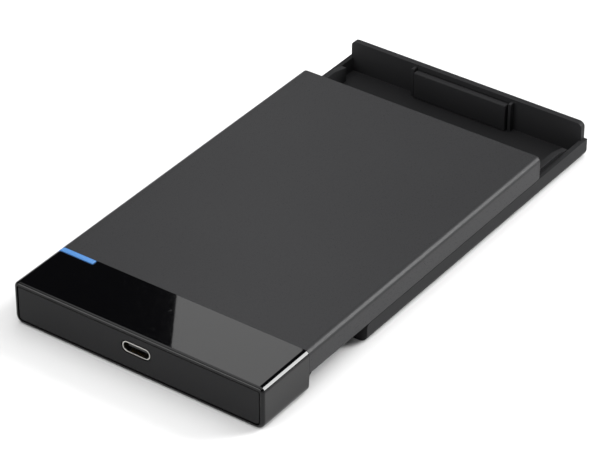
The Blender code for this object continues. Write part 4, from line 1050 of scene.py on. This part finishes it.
@dataclass
class Studio:
    """A pale floor that curves up all round, soft lights, and the camera."""

    azimuth: float = 35.57
    elevation: float = 34.53
    lens: float = 186.9
    camera_place: Vector = field(default_factory=lambda: Vector((0.4019, -0.5676, 0.4792)))
    floor_drop: float = 0.02 * MM
    floor_sides: int = 96
    floor_reach: float = 1.3
    wall_reach: float = 2.6
    wall_height: float = 0.95
    rim_steps: int = 12
    room_glow: float = 0.03
    hang: float = 1.6
    twist: float = -0.15
    split_share: float = 0.565
    split_setback: float = 1.0 * MM
    overhang: float = 0.1
    behind_height: float = 0.5
    behind_glow: float = 2.9
    fillet_leans: tuple[float, float] = (30.0, 57.0)
    right_shift: float = 0.04
    right_width: float = 0.3
    right_glow: float = 28.0
    softboxes: tuple[Softbox, ...] = (
        Softbox("overhead_softbox", (0, 0.05, 1.6), (2.2, 2.2), 2.2),
        Softbox("front_softbox", (-0.4, -1.5, 0.7), (1.6, 0.9), 4.5),
    )

    def backward(self) -> Vector:
        """The way from the view's middle to the camera."""
        turn, tilt = math.radians(self.azimuth), math.radians(self.elevation)
        level = math.cos(tilt)
        return Vector((math.sin(turn) * level, -math.cos(turn) * level, math.sin(tilt)))

    def floor(self) -> None:
        """Make the floor: a disc whose rim is drawn out and up in steps."""
        level = CAD_BOX[0].z - self.floor_drop
        bpy.ops.object.select_all(action="DESELECT")
        bpy.ops.mesh.primitive_circle_add(
            vertices=self.floor_sides,
            radius=self.floor_reach,
            fill_type="NGON",
            location=(0, 0, level),
        )
        floor = bpy.context.object
        floor.name = "studio_floor"
        bpy.ops.object.transform_apply(location=True, rotation=True, scale=True)
        bpy.ops.object.mode_set(mode="EDIT")
        bpy.ops.mesh.select_all(action="SELECT")
        bpy.ops.mesh.select_mode(type="EDGE")
        bpy.ops.mesh.region_to_loop()
        reach, height = self.floor_reach, 0.0
        for step in range(1, self.rim_steps + 1):
            turn = math.pi / 2 * step / self.rim_steps
            wide = self.floor_reach + (self.wall_reach - self.floor_reach) * math.sin(turn)
            tall = self.wall_height * (1 - math.cos(turn))
            rise = {"value": (0, 0, tall - height)}
            bpy.ops.mesh.extrude_region_move(TRANSFORM_OT_translate=rise)
            spread = (wide / reach, wide / reach, 1)
            bpy.ops.transform.resize(value=spread, center_override=(0, 0, level))
            reach, height = wide, tall
        bpy.ops.object.mode_set(mode="OBJECT")
        bpy.ops.object.shade_smooth_by_angle(angle=math.radians(SMOOTH_CORNER))
        floor.data.materials.append(Finishes.FLOOR.material())

    def card(
        self, name: str, middle: Vector, along: Vector, size: tuple[float, float], glow: float
    ) -> None:
        """Hang a soft light that faces the object.

        Args:
            name: The light.
            middle: Its middle.
            along: The way that its first side runs.
            size: Its first and second side.
            glow: How bright its face is, where a white floor in full light is about 1.
        """
        away = middle.normalized()
        down = away.cross(along).normalized()
        light = bpy.data.lights.new(name, "AREA")
        light.shape = "RECTANGLE"
        light.size, light.size_y = size
        light.energy = glow * math.pi * size[0] * size[1]
        obj = bpy.data.objects.new(name, light)
        turn = Matrix((down.cross(away), down, away)).transposed()
        obj.matrix_world = Matrix.Translation(middle) @ turn.to_4x4()
        obj.visible_camera = False
        bpy.context.scene.collection.objects.link(obj)

    def mirrored(self, place: Vector, lean: float) -> Vector:
        """Where a line of sight goes after it meets a polished face.

        Args:
            place: The point where it meets the face.
            lean: How far the face leans to the right, in degrees, where 0 is level.

        Returns:
            The way that it goes, of length 1.
        """
        normal = Vector((math.sin(math.radians(lean)), 0, math.cos(math.radians(lean))))
        return (place - self.camera_place).normalized().reflect(normal)

    def lights(self) -> None:
        """Hang the lights where the gloss block shows them."""
        low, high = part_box("front_cap")
        split = low.x + self.split_share * (high.x - low.x)
        edge = Vector((split, (low.y + high.y) / 2 - self.split_setback, high.z))
        corner = Vector((high.x, edge.y, high.z))
        left, right = (place + self.hang * self.mirrored(place, 0.0) for place in (edge, corner))
        across = Vector((right.x - left.x, right.y - left.y, 0))
        along = across + Vector((0, 0, self.twist * across.length))
        middle = (left + right) / 2 + self.overhang / 2 * across
        size = (across.length * (1 + self.overhang), self.behind_height)
        self.card("strip_behind", middle, along, size, self.behind_glow)
        top, foot = (corner + self.hang * self.mirrored(corner, lean) for lean in self.fillet_leans)
        middle = (top + foot) / 2 + Vector((0, self.right_shift, 0))
        size = ((foot - top).length, self.right_width)
        self.card("strip_right", middle, foot - top, size, self.right_glow)
        for softbox in self.softboxes:
            middle, level = Vector(softbox.middle), Vector((1, 0, 0))
            self.card(softbox.name, middle, level, softbox.size, softbox.glow)

    def build(self) -> None:
        """Make the floor, the lights and the camera."""
        self.floor()
        self.lights()
        world = bpy.data.worlds.new("studio_room")
        world.use_nodes = True
        room = world.node_tree.nodes["Background"]
        room.inputs["Color"].default_value = linear("#ffffff")
        room.inputs["Strength"].default_value = self.room_glow
        bpy.context.scene.world = world
        bpy.context.scene.view_settings.view_transform = "Standard"
        camera = bpy.data.objects.new("studio_camera", bpy.data.cameras.new("studio_camera"))
        camera.data.lens = self.lens
        camera.location = self.camera_place
        camera.rotation_euler = self.backward().to_track_quat("Z", "Y").to_euler()
        bpy.context.scene.collection.objects.link(camera)
        bpy.context.scene.camera = camera


def main() -> None:
    """Build the drive, one sub-assembly at a time, and the studio round it."""
    logging.basicConfig(level=logging.INFO, format="%(message)s")
    assemblies = (
        Enclosure(), Port(), Tray(), BridgeBoard(), DriveCase(), DiskStack(), HeadArm(), Studio()
    )
    for assembly in assemblies:
        assembly.build()


if __name__ == "__main__":
    main()
